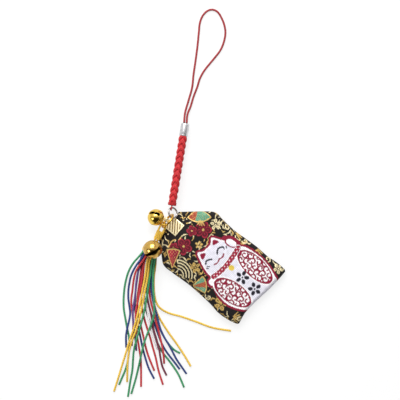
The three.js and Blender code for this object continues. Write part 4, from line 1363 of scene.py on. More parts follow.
@dataclass
class CrimpClamp:
    """The gilt clamp over the pouch's mouth, with ribs pressed into its face."""

    width: float = 6.3
    length: float = 5.8
    overlap: float = 0.2
    bevel: float = 0.1
    rib_height: float = 0.14

    def press_ribs(self, piece: Piece, sheet: RibbedGiltFinish) -> None:
        """Press ribs into the clamp's face, inside its plain border.

        Args:
            piece: The clamp, with its edges rounded.
            sheet: Its finish, which says where the ribs run.
        """
        mesh = piece.data
        plate = max((p for p in mesh.polygons if p.normal.z > 0.8), key=lambda p: p.area)
        slant = math.radians(sheet.slant_deg)
        across = Vector((math.cos(slant), -math.sin(slant), 0))
        ends = [across.dot(mesh.vertices[i].co) for i in plate.vertices]
        pitch = sheet.rib_mm * MM
        first, last = math.floor(min(ends) / pitch), math.ceil(max(ends) / pitch)
        corners = set(plate.vertices)
        with editing_faces(piece, lambda polygon: set(polygon.vertices) == corners):
            bpy.ops.mesh.inset(thickness=sheet.border_mm * MM)
            bpy.ops.mesh.hide(unselected=True)
            for rib in range(first, last + 1):
                bpy.ops.mesh.select_all(action="SELECT")
                bpy.ops.mesh.bisect(plane_co=across * rib * pitch, plane_no=across)
            for rib in range(first, last):
                bpy.ops.mesh.select_all(action="SELECT")
                bpy.ops.mesh.bisect(plane_co=across * (rib + 0.5) * pitch, plane_no=across)
                bpy.ops.transform.translate(value=(0, 0, self.rib_height * MM))
            bpy.ops.mesh.reveal(select=False)

    def build(self, frame: dict, pouch: PouchBag) -> Piece:
        """Make the clamp from its solid, with rounded sheet edges.

        Args:
            frame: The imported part.
            pouch: The pouch that the clamp closes.

        Returns:
            The clamp.
        """
        source = frame["nodes"]["top_clamp"]
        piece = bpy.data.objects.new("gilt_clamp", source.data.copy())
        bpy.context.scene.collection.objects.link(piece)
        with editing(piece):
            bpy.ops.mesh.remove_doubles(threshold=1e-6)
            bpy.ops.mesh.dissolve_limited(angle_limit=math.radians(4))
        apply_modifier(piece, "BEVEL", width=self.bevel * MM, segments=2, limit_method="ANGLE",
                       angle_limit=math.radians(50))
        middle = pouch.place() @ Vector((0, pouch.top - self.length / 2 + self.overlap, 0))
        sheet = RibbedGiltFinish("ribbed_gilt_sheet", turn_deg=pouch.turn_deg,
                                 centre_mm=(middle.x, middle.y),
                                 half_mm=(self.width / 2, self.length / 2 + self.overlap))
        self.press_ribs(piece, sheet)
        smooth(piece)
        sheet.dress(piece)
        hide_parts("top_clamp")
        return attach(piece, Body.POUCH.value)


@dataclass
class LinkRings:
    """The gold jump ring in the clamp's eye and the silver ring that carries the strap."""

    gold_centre: Point = (-21.4464, 17.6792, 4.881)
    gold_axis: Point = (0.7453, -0.6144, -0.2588)
    gold_radius: float = 3.5
    gold_wire: float = 0.5
    gold_split_deg: float = 75.0
    silver_centre: Point = (-19.1444, 21.2311, 4.881)
    silver_axis: Point = (0.6194, 0.1718, 0.766)
    silver_radius: float = 2.3
    silver_wire: float = 0.4
    silver_split_deg: float = 200.0

    def build(self) -> list[Piece]:
        """Make both rings.

        Returns:
            The gold ring and the silver ring.
        """
        gold = wire_ring("gold_jump_ring", self.gold_radius, self.gold_wire, self.gold_split_deg)
        put(gold, basis(Vector(self.gold_centre) * MM, self.gold_axis, (0, 0, 1)))
        RING_GOLD.dress(gold)
        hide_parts("gold_ring")
        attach(gold, Body.RING.value)
        silver = wire_ring("silver_jump_ring", self.silver_radius, self.silver_wire,
                           self.silver_split_deg)
        put(silver, basis(Vector(self.silver_centre) * MM, self.silver_axis, (0, 1, 0)))
        RING_NICKEL.dress(silver)
        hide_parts("silver_ring")
        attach(silver, Body.LINK.value)
        return [gold, silver]


@dataclass
class HandStrap:
    """The hand strap: whipped end, plaited cord, ferrule and thin loop."""

    hook: Point = (-19.7597, 23.4474, 4.8807)
    heading_deg: float = -9.2
    plait_bulge: float = 2.0
    plait_hidden: Flat = (0.75, 2.2)
    plait_cords: int = 8
    half_thick: float = 0.5
    swing: float = 0.24
    whipping: float = 0.16
    turn_steps: int = 28
    cap_radius: float = 1.95
    cap_start: float = 1.15
    plait_start: float = 2.45
    plait_end: float = 32.75
    ferrule_end: float = 38.45
    mouth_radius: float = 1.65
    wall: float = 0.3
    eye_radius: float = 1.0
    eye_wire: float = 0.3
    table_gap: float = 0.1
    lead: float = 11.6
    # The silk's groove colour is painted shade between its plies.
    silk: YarnFinish = YarnFinish("plaited_red_silk", colour="c81c24", groove="6c0a12", plies=6,
                                 lay_mm=60.0, sheen=0.06)
    loop_radius: float = 0.5
    loop_pitch: float = 1.16
    loop_rise: float = 0.3
    loop_route: Sequence[Point] = (
        (-0.9, 4.8, 1.2), (-0.2, 11, 0.55), (0.4, 16.7, 0.55), (0.1, 22.4, 0.55), (0, 28.5, 0.55),
        (-0.2, 35.4, 0.55), (-0.6, 41.9, 0.55), (-0.8, 45.7, 0.55), (-0.2, 48.9, 0.55),
        (1.5, 51.6, 0.55), (3.8, 52.7, 0.55), (6.2, 52.1, 0.55), (8.6, 49.5, 0.55),
        (10.4, 46.3, 0.55), (11.3, 43.1, 0.55), (11.2, 39, 0.55), (10.3, 35.3, 0.55),
        (8.6, 32, 0.55), (6.6, 28.6, 0.55), (4.5, 24.8, 0.55), (3.2, 21.1, 0.55),
        (2.7, 17.5, 0.55), (1.7, 12.6, 0.55), (1.1, 8.1, 0.7), (0.3, 4.2, 1.3),
    )

    @property
    def across(self) -> Vector:
        """Level direction across the strap."""
        turn = math.radians(self.heading_deg)
        return Vector((math.cos(turn), math.sin(turn), 0))

    @property
    def forward(self) -> Vector:
        """Level direction from the strap's hook to its loop."""
        return Vector((-self.across.y, self.across.x, 0))

    @property
    def along(self) -> Vector:
        """Direction of the strap from its hook, dipping to the table."""
        dip = math.asin((self.hook[2] - self.cap_radius - self.table_gap) / self.ferrule_end)
        return self.forward * math.cos(dip) - Vector((0, 0, math.sin(dip)))

    def place(self) -> Matrix:
        """Frame of the strap: +Z along it from the hook."""
        return basis(Vector(self.hook) * MM, self.along, self.across)

    def end_cap(self) -> Piece:
        """Make the thread whipped round the plait's start, with its corded eye.

        Returns:
            The whipped end.
        """
        thread, steps = self.whipping, self.turn_steps
        outer = self.cap_radius - thread
        low, high = self.cap_start + thread, self.plait_start
        rounds = round(outer / (1.8 * thread)) * steps
        turns = round((high - low) / (1.7 * thread)) * steps
        route = []
        for i in range(rounds + turns + 1):
            angle = TAU * i / steps
            reach = outer * min(1.0, 0.06 + 0.94 * i / rounds)
            rise = low + (high - low) * max(0, i - rounds) / turns
            route.append((reach * math.cos(angle), reach * math.sin(angle), rise))
        ring = [(0, self.eye_radius * math.cos(a), self.eye_radius * math.sin(a))
                for a in np.linspace(0, TAU, steps)]
        whipped = fine_thread("whipped_end", np.array(route), thread)
        eye = TwistedCord("whipped_eye", np.array(ring), self.eye_wire, lay_mm=1.6, step_mm=0.2)
        piece = join_pieces(whipped.build(), eye.build())
        put(piece, self.place())
        self.silk.dress(piece)
        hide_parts("strap_end_cap")
        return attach(piece, Body.STRAP.value)

    def ferrule(self) -> Piece:
        """Make the crimped ferrule at the plait's far end.

        Returns:
            The ferrule.
        """
        outer, inner = self.cap_radius, self.cap_radius - self.wall
        start, end = self.plait_end, self.ferrule_end
        piece = lathe("strap_crimp", [
            (inner, start), (outer - 0.06, start), (outer, start + 0.08), (outer, start + 0.8),
            (outer - 0.14, start + 0.95), (outer - 0.14, start + 1.15), (outer, start + 1.3),
            (outer, end - 0.75), (outer - 0.05, end - 0.4), (outer - 0.14, end - 0.16),
            (self.mouth_radius + 0.04, end - 0.03), (self.mouth_radius, end),
            (self.mouth_radius - 0.08, end - 0.06), (self.mouth_radius - 0.06, end - 0.3),
            (inner, end - 0.9), (inner, start),
        ])
        smooth(piece)
        put(piece, self.place())
        NICKEL_PLATE.dress(piece)
        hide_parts("strap_ferrule")
        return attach(piece, Body.STRAP.value)

    def plait(self) -> Piece:
        """Make the round plait of eight flat cords, two over and two under.

        Four cords wind each way. The hand on top changes every quarter turn, so the plait shows
        rows of nested V shapes along its length.

        Returns:
            The plait.
        """
        middle = self.plait_bulge - self.half_thick - self.swing
        start = self.cap_start + self.plait_hidden[0]
        end = self.plait_end + self.plait_hidden[1]
        cords = []
        for i in range(self.plait_cords):
            hand = 1 if i % 2 == 0 else -1
            route = []
            for s in np.arange(start, end, 0.25):
                turn = hand * TAU * s / self.lead + math.pi / 2 * (i // 2) + math.pi / 4
                side = math.tanh(2.2 * math.sin(2 * turn)) / math.tanh(2.2)
                tuck = min(1.0, max(0.0, (s - self.plait_start + 0.4) / 0.8),
                           max(0.0, (self.plait_end + 0.4 - s) / 0.8))
                reach = (middle + hand * self.swing * side) * (0.6 + 0.4 * tuck)
                route.append((reach * math.cos(turn), reach * math.sin(turn), s))
            cords.append(TwistedCord(
                f"plait_cord_{i + 1}", np.array(route), self.half_thick, plies=self.silk.plies,
                lay_mm=self.silk.lay_mm, groove=0.1, sides=18, step_mm=0.25, flat=1.75,
                radial=True).build())
        piece = join_pieces(*cords)
        piece.name = "plaited_cord"
        put(piece, self.place())
        self.silk.dress(piece)
        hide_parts("strap_plait")
        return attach(piece, Body.STRAP.value)

    def loop(self) -> Piece:
        """Make the thin loop, which leaves the ferrule and returns to it.

        Returns:
            The loop.
        """
        place = self.place()
        mouth = place @ Vector((0, 0, self.ferrule_end * MM)) / MM
        foot = self.ferrule_end + self.loop_rise
        ends = [place @ (Vector((side * self.loop_pitch / 2, 0, foot)) * MM) / MM
                for side in (-1, 1)]
        route = [tuple(ends[0])]
        for across, along, height in self.loop_route:
            point = mouth + self.across * across + self.forward * along
            route.append((point.x, point.y, height))
        route.append(tuple(ends[1]))
        cord = TwistedCord("thin_loop", np.array(route), self.loop_radius, lay_mm=2.0)
        piece = cord.build()
        # Its groove colour is painted shade between its plies.
        YarnFinish("braided_dark_red_cord", colour="a32a30", groove="5e1016", lay_mm=2.0,
                   sheen=0.1).dress(piece)
        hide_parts("loop_cord")
        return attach(piece, Body.LOOP.value)

    def build(self) -> list[Piece]:
        """Make the strap's pieces: whipped end, plait, ferrule and loop."""
        return [self.end_cap(), self.plait(), self.ferrule(), self.loop()]


@dataclass
class JingleBell:
    """A round pellet bell: a plain crown half, a slit half, a wire loop and a loose pellet."""

    name: str
    body: Body
    centre: Point
    axis: Point
    slit: Point
    radius: float
    wall: float = 0.4
    seam: float = 0.2
    slit_width: float = 1.3
    slit_half_deg: float = 62.0
    hole: float = 0.8
    stem: float = 0.55
    roll: float = 0.08
    roll_height: float = 0.45
    plating: PlatedFinish = GOLD_PLATE

    def place(self) -> Matrix:
        """Frame of the bell: +Z to its slit and +X along it."""
        return basis(Vector(self.centre) * MM, self.axis, self.slit)

    def shell(self, name: str, opening: float) -> Piece:
        """Turn one half of the bell, with a rolled edge at the seam.

        Args:
            name: Name of the piece.
            opening: Radius of the hole at its pole.

        Returns:
            The half, with its seam at z = 0 and its pole at +Z.
        """
        low = self.seam / 2
        inner = self.radius - self.wall
        edge = math.asin((low + self.roll_height) / self.radius)
        outer_arc = [(self.radius * math.cos(a), self.radius * math.sin(a))
                     for a in np.linspace(edge, math.acos(opening / self.radius), 18)]
        pole = math.acos(min(1.0, opening / inner))
        inner_arc = [(inner * math.cos(a), inner * math.sin(a))
                     for a in np.linspace(pole, math.asin(low / inner), 14)]
        lip = ((0.25, 0.0), (1.0, 0.1), (1.0, 0.25), (0.25, 0.36))
        roll = [(self.radius + out * self.roll, low + rise) for out, rise in lip]
        return lathe(name, [inner_arc[-1], *roll, *outer_arc, *inner_arc], steps=64)

    def cutter(self) -> Piece:
        """Make the tool that cuts the slit and its round ends.

        Returns:
            The tool, in the bell's own frame.
        """
        angle = math.radians(self.slit_half_deg)
        reach = self.radius * math.sin(angle)
        foot = self.radius * math.cos(angle)
        deselect_all()
        bpy.ops.mesh.primitive_cube_add(size=1)
        tool = name_new("slit_tool")
        tall = 2 * self.radius - foot
        put(tool, Matrix.Translation(Vector((0, 0, foot + tall / 2)) * MM)
            @ Matrix.Diagonal(Vector((2 * reach, self.slit_width, tall, 1000)) * MM))
        for turn in (-angle, angle):
            deselect_all()
            depth = 1.5 * self.radius * MM
            bpy.ops.mesh.primitive_cylinder_add(vertices=24, radius=self.hole * MM, depth=depth)
            hole = name_new("slit_end")
            put(hole, Matrix.Rotation(turn, 4, "Y")
                @ Matrix.Translation((0, 0, 1.25 * self.radius * MM)))
            apply_modifier(tool, "BOOLEAN", operation="UNION", solver="EXACT", object=hole)
            bpy.data.objects.remove(hole)
        return tool

    def shade_inside(self, *halves: Piece) -> None:
        """Give the faces turned to the bell's middle a dark brass: painted shade, so that the
        hollow and the slit read dark.

        Args:
            halves: The bell's halves, in place.
        """
        # Painted shade: a dark brass for the faces inside the bell.
        dull = SHADED_INNER_BRASS.material()
        middle = Vector(self.centre) * MM
        for half in halves:
            half.data.materials.append(dull)
            for polygon in half.data.polygons:
                if polygon.normal.dot((middle - polygon.center).normalized()) > 0.3:
                    polygon.material_index = 1

    def build(self, frame: dict) -> list[Piece]:
        """Make the bell's pieces.

        Args:
            frame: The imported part.

        Returns:
            Crown half and slit half.
        """
        cup = self.shell(f"{self.name}_slit_half", 0.0)
        tool = self.cutter()
        apply_modifier(cup, "BOOLEAN", operation="DIFFERENCE", solver="EXACT", object=tool)
        bpy.data.objects.remove(tool)
        with editing(cup):
            bpy.ops.mesh.remove_doubles(threshold=0.004 * MM)
            bpy.ops.mesh.dissolve_degenerate(threshold=0.002 * MM)
            bpy.ops.mesh.delete_loose()
        crown = self.shell(f"{self.name}_crown_half", self.stem)
        put(crown, Matrix.Rotation(math.pi, 4, "X"))
        for piece, node in ((cup, f"{self.name}_cup"), (crown, f"{self.name}_dome")):
            smooth(piece, 32)
            put(piece, self.place())
            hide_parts(node)
            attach(piece, self.body.value)
        self.plating.dress(cup, crown)
        self.shade_inside(cup, crown)
        RING_GOLD.dress(frame["nodes"][f"{self.name}_loop"])
        BARE_STEEL.dress(frame["nodes"][f"{self.name}_pellet"])
        return [cup, crown]


@dataclass(frozen=True)
class Strand:
    """One tassel cord: its name, dye, slot in the binding and route from the ring's end."""

    name: str
    dye: str
    slot: tuple[int, int]
    route: Sequence[Point]


# Each dye's own colour, then a darker one that is painted into its ply grooves as shade.
DYES = {
    "green": ("389862", "185236"),
    "blue": ("203b80", "0f1c44"),
    "red": ("c9323a", "7c151c"),
    "yellow": ("efc648", "a87c1c"),
    "purple": ("64458c", "33204f"),
    "white": ("f2ebee", "b7a9b0"),
    "plum": ("742640", "3f1022"),
}

STRANDS = (
    Strand("strand_green_1", "green", (0, 2), (
        (-10.8, -13.4, 2.9), (-13.3, -16.3, 2.4), (-15.5, -20.2, 1.6), (-17, -25.5, 0.8),
        (-17.7, -31.2, 0.5), (-17.7, -36.6, 0.5), (-17, -41.1, 0.5), (-16.2, -45.6, 0.5),
        (-15.3, -50.1, 0.5), (-15.4, -56.4, 0.5), (-16.4, -62.7, 0.5), (-19.8, -71.2, 0.5))),
    Strand("strand_blue_1", "blue", (1, 2), (
        (-9.7, -14.3, 3), (-12.1, -17.6, 2.7), (-14.2, -21.7, 1.8), (-15.2, -25.8, 1),
        (-15.6, -28.9, 0.6), (-15.6, -32.5, 0.5), (-15.1, -36.1, 0.5), (-14.8, -38.8, 0.6),
        (-15.2, -42, 1.2), (-16, -45.4, 1.5), (-16.6, -48.7, 1.1), (-16.6, -54.4, 0.5))),
    Strand("strand_red_1", "red", (2, 2), (
        (-8.8, -15, 3), (-10.8, -17.7, 2.8), (-12.2, -20.2, 2.4), (-13, -23.1, 1.8),
        (-13.5, -26.2, 1.2), (-13.8, -28.9, 0.8), (-14.2, -31.6, 0.5), (-14.3, -34.3, 0.5),
        (-13.9, -37.5, 0.5), (-13.6, -40.6, 0.5), (-13.4, -44.7, 0.5), (-13.7, -49.2, 0.5),
        (-14.1, -53.7, 0.5))),
    Strand("strand_yellow_1", "yellow", (3, 2), (
        (-7.2, -16.3, 2.8), (-7.6, -19.5, 2.6), (-8.3, -24, 2.6), (-9.2, -28.5, 2.6),
        (-10, -33, 2.6), (-10.9, -37.5, 2.6), (-12, -42, 2.6), (-13.2, -46, 2.4),
        (-14.8, -50.5, 1.9), (-16.3, -55.5, 1.6), (-18, -60.9, 1.4), (-19.9, -67.2, 1),
        (-22.1, -74.2, 0.5))),
    Strand("strand_yellow_2", "yellow", (4, 2), (
        (-6.2, -16.8, 2.8), (-6.5, -19.9, 2.6), (-7.2, -24.4, 2.6), (-8.1, -28.9, 2.6),
        (-8.9, -33.4, 2.6), (-9.8, -37.9, 2.6), (-10.9, -42.4, 2.6), (-12.1, -46.5, 2.6),
        (-13.8, -51, 2), (-15.2, -55.9, 1.6), (-15.8, -60.4, 1.6), (-16, -64.9, 1.3),
        (-16.2, -69.9, 0.5))),
    Strand("strand_green_2", "green", (5, 2), (
        (-5.1, -17.2, 2.8), (-5.4, -19.9, 2.6), (-6.1, -24, 2.6), (-6.8, -28.5, 2.6),
        (-7.5, -33, 2.6), (-8.4, -37.9, 2.6), (-9.5, -42.4, 2.6), (-10.8, -46.9, 2.6),
        (-12.1, -51.4, 2.6), (-13.1, -55.9, 2), (-13.5, -60.4, 1.3), (-13.8, -64.5, 0.8),
        (-14.7, -69.4, 0.5), (-15.8, -76.6, 0.5))),
    Strand("strand_green_3", "green", (6, 2), (
        (-4, -17.7, 2.8), (-4.4, -22.2, 2.6), (-4.4, -27.6, 2.6), (-4, -32.5, 2.6),
        (-3.9, -36.6, 2.6), (-4.1, -39.7, 2.6), (-4.8, -42.4, 2.6), (-6, -45.6, 2.6),
        (-7.4, -49.2, 2.6), (-8.5, -52.3, 2.6), (-9.5, -56.4, 2.5), (-10.4, -60.4, 1.8),
        (-11.2, -64, 1.1), (-12.3, -68.5, 0.6), (-14.3, -75.3, 0.5))),
    Strand("strand_purple_1", "purple", (0, 1), (
        (-9.6, -15.4, 1.7), (-10.7, -18.8, 1.7), (-11.6, -22.2, 1.6), (-12.1, -25.8, 1.6),
        (-12.3, -28.9, 1.5), (-12.7, -32.1, 1.5), (-13.2, -35.2, 1.5), (-13.5, -38.4, 1.55),
        (-13.5, -41.1, 1.55), (-13.2, -44.2, 1.5), (-12.8, -47.8, 1.1), (-12.3, -51.9, 0.6),
        (-12, -55.9, 0.5))),
    Strand("strand_red_2", "red", (1, 1), (
        (-8.5, -16.1, 1.7), (-9, -19.5, 1.65), (-9.4, -23.1, 1.6), (-9.9, -26.7, 1.6),
        (-10.7, -30.3, 1.55), (-11.3, -33.4, 1.55), (-12, -37, 1.6), (-12.3, -40.6, 1.6),
        (-12, -44.7, 1.6), (-11.6, -49.2, 1.6), (-10.8, -54.1, 1.5), (-10.1, -59.1, 0.7),
        (-9.9, -63.6, 0.5), (-9.9, -72.1, 0.5))),
    Strand("strand_white_1", "white", (2, 1), (
        (-7.6, -16.8, 1.7), (-8.1, -22.2, 1.6), (-8.5, -26.2, 1.55), (-8.5, -29.8, 1.55),
        (-8.2, -33, 1.55), (-7.3, -36.6, 1.55), (-6.7, -39.7, 1.55), (-6.1, -43.3, 1.55),
        (-5, -47.4, 1.5), (-3.8, -51.4, 1.3), (-2.4, -55.3, 0.6))),
    Strand("strand_plum_1", "plum", (3, 1), (
        (-6.6, -17, 1.7), (-7.1, -22.2, 1.6), (-7.4, -26.2, 1.55), (-7.3, -29.8, 1.55),
        (-6.8, -33, 1.55), (-6, -36.6, 1.55), (-5.3, -39.7, 1.55), (-4.7, -43.3, 1.55),
        (-4, -46.9, 1.55), (-2.8, -51, 1.5), (-1.7, -55.3, 1.5), (-1.1, -59.1, 1.1),
        (-0.3, -62.9, 0.7), (1.6, -67, 0.5))),
    Strand("strand_red_3", "red", (4, 1), (
        (-5.5, -17.2, 1.7), (-6, -22.2, 1.6), (-6.3, -26.2, 1.55), (-6.1, -29.8, 1.55),
        (-5.6, -33, 1.55), (-4.7, -36.6, 1.55), (-3.9, -39.7, 1.55), (-3.1, -42.9, 1.55),
        (-2.2, -46, 1.55), (-1.3, -49.6, 1.55), (-0.4, -53.5, 1.55), (0.2, -57.3, 1.5),
        (0.4, -59.3, 1.2), (0.5, -61.6, 0.6))),
    Strand("strand_blue_2", "blue", (5, 1), (
        (-4.4, -17.5, 1.7), (-5, -22.2, 1.6), (-5.2, -26.2, 1.55), (-5, -29.8, 1.55),
        (-4.5, -33, 1.55), (-3.6, -36.6, 1.55), (-2.7, -39.7, 1.55), (-2, -42.9, 1.55),
        (-0.9, -46.5, 1.55), (0.7, -49.9, 1.5), (2.6, -53, 1.5), (4.3, -56.2, 1.4), (6, -59.5, 1.1),
        (8.1, -62.7, 0.7), (10.6, -66.3, 0.5))),
    Strand("strand_yellow_3", "yellow", (6, 1), (
        (-3.4, -17.7, 1.7), (-4, -22.2, 1.6), (-4.1, -26.2, 1.55), (-3.9, -29.8, 1.55),
        (-3.3, -33, 1.55), (-2.2, -35.5, 1.5), (-0.2, -37.4, 1.1), (3.2, -39.1, 0.6),
        (7.7, -40.3, 0.5), (14.7, -42.7, 0.5), (22.1, -45.4, 0.5), (30.6, -46.9, 0.5))),
    Strand("strand_blue_3", "blue", (0, 0), (
        (-10.4, -15.9, 0.6), (-11.2, -20.4, 0.5), (-11.8, -24.4, 0.5), (-12.3, -28.5, 0.5),
        (-12.6, -32.5, 0.5), (-12.6, -36.6, 0.5), (-12.1, -40.6, 0.5), (-11.2, -45.1, 0.5),
        (-10.2, -49.6, 0.5), (-9.3, -54.1, 0.5), (-8.1, -58.6, 0.5), (-6.5, -63.6, 0.5),
        (-4, -68.5, 0.5))),
    Strand("strand_red_4", "red", (1, 0), (
        (-9.4, -16.8, 0.6), (-10, -20.8, 0.5), (-10.6, -25.3, 0.5), (-11.2, -29.4, 0.5),
        (-11.6, -33, 0.5), (-11.4, -37, 0.5), (-10.8, -41.1, 0.5), (-9.9, -45.1, 0.5),
        (-8.9, -49.2, 0.5), (-8.1, -53, 0.5), (-6.6, -58.2, 0.5), (-3.9, -64.9, 0.5))),
    Strand("strand_red_5", "red", (2, 0), (
        (-8.4, -17.2, 0.6), (-8.9, -20.8, 0.5), (-9.4, -25.3, 0.5), (-9.7, -29.4, 0.5),
        (-9.8, -33.4, 0.5), (-9.3, -37.5, 0.5), (-8.4, -41.5, 0.5), (-7.2, -45.6, 0.5),
        (-5.9, -49.6, 0.5), (-4.8, -53.7, 0.5), (-3.4, -58.6, 0.5), (-2, -64.9, 0.5),
        (0, -71.2, 0.5))),
    Strand("strand_green_4", "green", (3, 0), (
        (-7.3, -17.5, 0.6), (-7.7, -21.3, 0.5), (-8.2, -25.3, 0.5), (-8.5, -29.4, 0.5),
        (-8.3, -33.4, 0.5), (-7.6, -37.5, 0.5), (-6.4, -41.5, 0.5), (-5, -45.6, 0.5),
        (-3.6, -49.6, 0.5), (-2.1, -53.2, 0.5), (-0.2, -56.6, 0.5), (2.3, -59.8, 0.5),
        (4.6, -62.9, 0.5), (7, -66.7, 0.5), (9.5, -72.4, 0.5))),
    Strand("strand_blue_4", "blue", (4, 0), (
        (-6.2, -17.7, 0.6), (-6.7, -21.7, 0.5), (-7.1, -25.8, 0.5), (-7.2, -29.8, 0.5),
        (-6.8, -33.7, 0.5), (-5.8, -37.5, 0.5), (-4.7, -41.3, 0.5), (-3.4, -45.1, 0.5),
        (-2.1, -48.7, 0.5), (-0.7, -52.3, 0.5), (1, -55.5, 0.5), (2.9, -58.2, 0.5),
        (4.9, -60.7, 0.5), (7.5, -64.2, 0.5))),
    Strand("strand_green_5", "green", (5, 0), (
        (-5.1, -17.9, 0.6), (-5.6, -21.7, 0.5), (-5.9, -25.8, 0.5), (-6, -29.8, 0.5),
        (-5.5, -33.7, 0.5), (-4.5, -37.5, 0.5), (-3.2, -41.3, 0.5), (-1.9, -44.7, 0.5),
        (-0.4, -48.1, 0.5), (1.4, -51.2, 0.5), (3.4, -53.9, 0.5), (5.5, -55.8, 0.5),
        (7.7, -57, 0.5))),
    Strand("strand_yellow_4", "yellow", (6, 0), (
        (-4, -18.1, 0.6), (-4.5, -22.2, 0.5), (-4.8, -26.2, 0.5), (-4.7, -29.8, 0.5),
        (-4.2, -33.4, 0.5), (-3.5, -36.6, 0.5), (-2.4, -39.5, 0.5), (-1.1, -42, 0.5),
        (0.7, -44.9, 0.5), (2.8, -48.1, 0.5), (5.2, -51.4, 0.5), (7.7, -55, 0.5), (10, -58.6, 0.5),
        (12.5, -62.9, 0.5))),
)


@dataclass
class CordTassel:
    """The tassel: coloured cords in a wrapped binding, hung on a doubled yellow cord."""

    pivot: Flat = (-23.6727, 14.9785)
    ring_height: float = 4.881
    ring_wire: float = 0.5
    cord_radius: float = 0.45
    loose_radius: float = 0.495
    groove: float = 0.12
    columns: int = 7
    layers: int = 3
    pitch: float = 1.02
    first_layer: float = 1.0
    fan_deg: float = -19.6
    root: Flat = (-5.85, -11.83)
    binding_length: float = 2.0
    root_length: float = 2.4
    gap: float = 0.3
    thread_gap: float = 0.2
    binding_thread: float = 0.2
    binding_turns: int = 5
    binding_margin: float = 0.72
    wrap_thread: float = 0.16
    wrap_length: float = 4.2
    wrap_above: float = 0.6
    turn_steps: int = 28
    bend: Point = (-2.1, -4.2, 3.9)
    bell_hook: Point = (-3.78, -7.38, 2.87)

    @property
    def ring_turn(self) -> float:
        """Distance of the hanger's middle from the ring's, where it turns round the wire."""
        return self.ring_wire + self.cord_radius + self.thread_gap

    def slot_point(self, column: float, layer: float, back: float) -> Point:
        """Give a point in the binding.

        Args:
            column: Column of the cord.
            layer: Layer of the cord.
            back: Distance back from where the cords fan out.

        Returns:
            The point from the ring's end, with its height from the table.
        """
        turn = math.radians(self.fan_deg)
        across = (column - (self.columns - 1) / 2) * self.pitch
        return (self.root[0] + across * math.cos(turn) - back * math.sin(turn),
                self.root[1] + across * math.sin(turn) + back * math.cos(turn),
                self.first_layer + layer * self.pitch)

    def world(self, points: Sequence[Point]) -> np.ndarray:
        """Move points from the ring's end to the part's frame."""
        return np.array(points, float) + np.array([self.pivot[0], self.pivot[1], 0.0])

    def strand(self, strand: Strand, material: bpy.types.Material) -> Piece:
        """Make one tassel cord.

        Args:
            strand: What to make.
            material: Its dyed yarn.

        Returns:
            The cord.
        """
        root = [self.slot_point(*strand.slot, back) for back in (self.root_length, 0.0)]
        route = self.world([*root, *strand.route])
        cord = TwistedCord(strand.name.replace("strand", "cord"), route, self.loose_radius,
                           groove=self.groove)
        piece = cord.build()
        piece.data.materials.append(material)
        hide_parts(strand.name)
        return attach(piece, Body.TASSEL.value)

    def hanger(self, material: bpy.types.Material) -> Piece:
        """Make the doubled cord that hangs the tassel from the gold ring.

        Args:
            material: Its yellow yarn.

        Returns:
            The hanger.
        """
        turn = self.ring_turn
        run = Vector((self.bell_hook[0], self.bell_hook[1], 0)).normalized()
        side = Vector((-run.y, run.x, 0))
        start = Vector((0, 0, self.ring_height))
        diagonal = turn * math.sqrt(0.5)

        def leg(sign: int) -> list[Vector]:
            """Lead one half of the doubled cord from the binding to the ring.

            Args:
                sign: Which half.

            Returns:
                Points along it.
            """
            column = (self.columns - 1) / 2 + sign / 2
            return [
                Vector(self.slot_point(column, self.layers - 1, self.root_length + self.gap)),
                Vector(self.bell_hook) + side * sign * self.pitch / 2,
                Vector(self.bend) + side * sign * (self.pitch / 2 + turn) / 2,
                start + side * sign * turn,
                start - run * diagonal + side * sign * diagonal,
            ]

        points = [*leg(1), start - run * turn, *reversed(leg(-1))]
        cord = TwistedCord("yellow_hanger", self.world([tuple(p) for p in points]),
                           self.loose_radius, groove=self.groove, step_mm=0.25)
        piece = join_pieces(cord.build(), self.wrap(side).build())
        piece.data.materials.append(material)
        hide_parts("tassel_hanger")
        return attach(piece, Body.TASSEL.value)

    def wrap(self, side: Vector) -> TwistedCord:
        """Run a thread round both halves of the hanger, at its bend.

        Args:
            side: Level direction from one half to the other.

        Returns:
            The wrapped thread, not yet made.
        """
        start, bend = Vector((0, 0, self.ring_height)), Vector(self.bend)
        down = (Vector(self.bell_hook) - start).normalized()
        up = down.cross(side)
        turn = self.ring_turn
        slope = (turn - self.pitch / 2) / (Vector(self.bell_hook) - start).length
        reach = self.loose_radius + 0.7 * self.wrap_thread
        count = round(self.wrap_length / (2 * self.wrap_thread)) * self.turn_steps
        route = []
        for i in range(count + 1):
            angle = TAU * i / self.turn_steps
            run = (i / count - self.wrap_above) * self.wrap_length
            half = (turn + self.pitch / 2) / 2 - slope * run + reach
            flat = soft_square(angle, 4)
            point = (bend + down * run + side * (half * flat * math.cos(angle))
                     + up * (reach * flat * math.sin(angle)))
            route.append(tuple(point))
        return fine_thread("hanger_wrap", self.world(route), self.wrap_thread)

    def binding(self, material: bpy.types.Material) -> Piece:
        """Make the wrapped thread that binds the cords' roots.

        Args:
            material: Its yellow yarn.

        Returns:
            The binding.
        """
        middle = ((self.columns - 1) / 2, (self.layers - 1) / 2)
        half, tall = (m * self.pitch + self.binding_margin for m in middle)
        thread, turns, steps = self.binding_thread, self.binding_turns, self.turn_steps
        centre = self.slot_point(*middle, self.root_length / 2)
        fan = math.radians(self.fan_deg)
        route = []
        for i in range(turns * steps + 1):
            angle = TAU * i / steps
            flat = soft_square(angle, 5)
            across = half * math.cos(angle) * flat
            up = tall * math.sin(angle) * flat
            back = (i / steps - turns / 2) * (self.binding_length - 2 * thread) / turns
            route.append((centre[0] + across * math.cos(fan) - back * math.sin(fan),
                          centre[1] + across * math.sin(fan) + back * math.cos(fan),
                          centre[2] + up))
        piece = fine_thread("binding_thread", self.world(route), thread).build()
        piece.data.materials.append(material)
        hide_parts("tassel_binding")
        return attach(piece, Body.TASSEL.value)

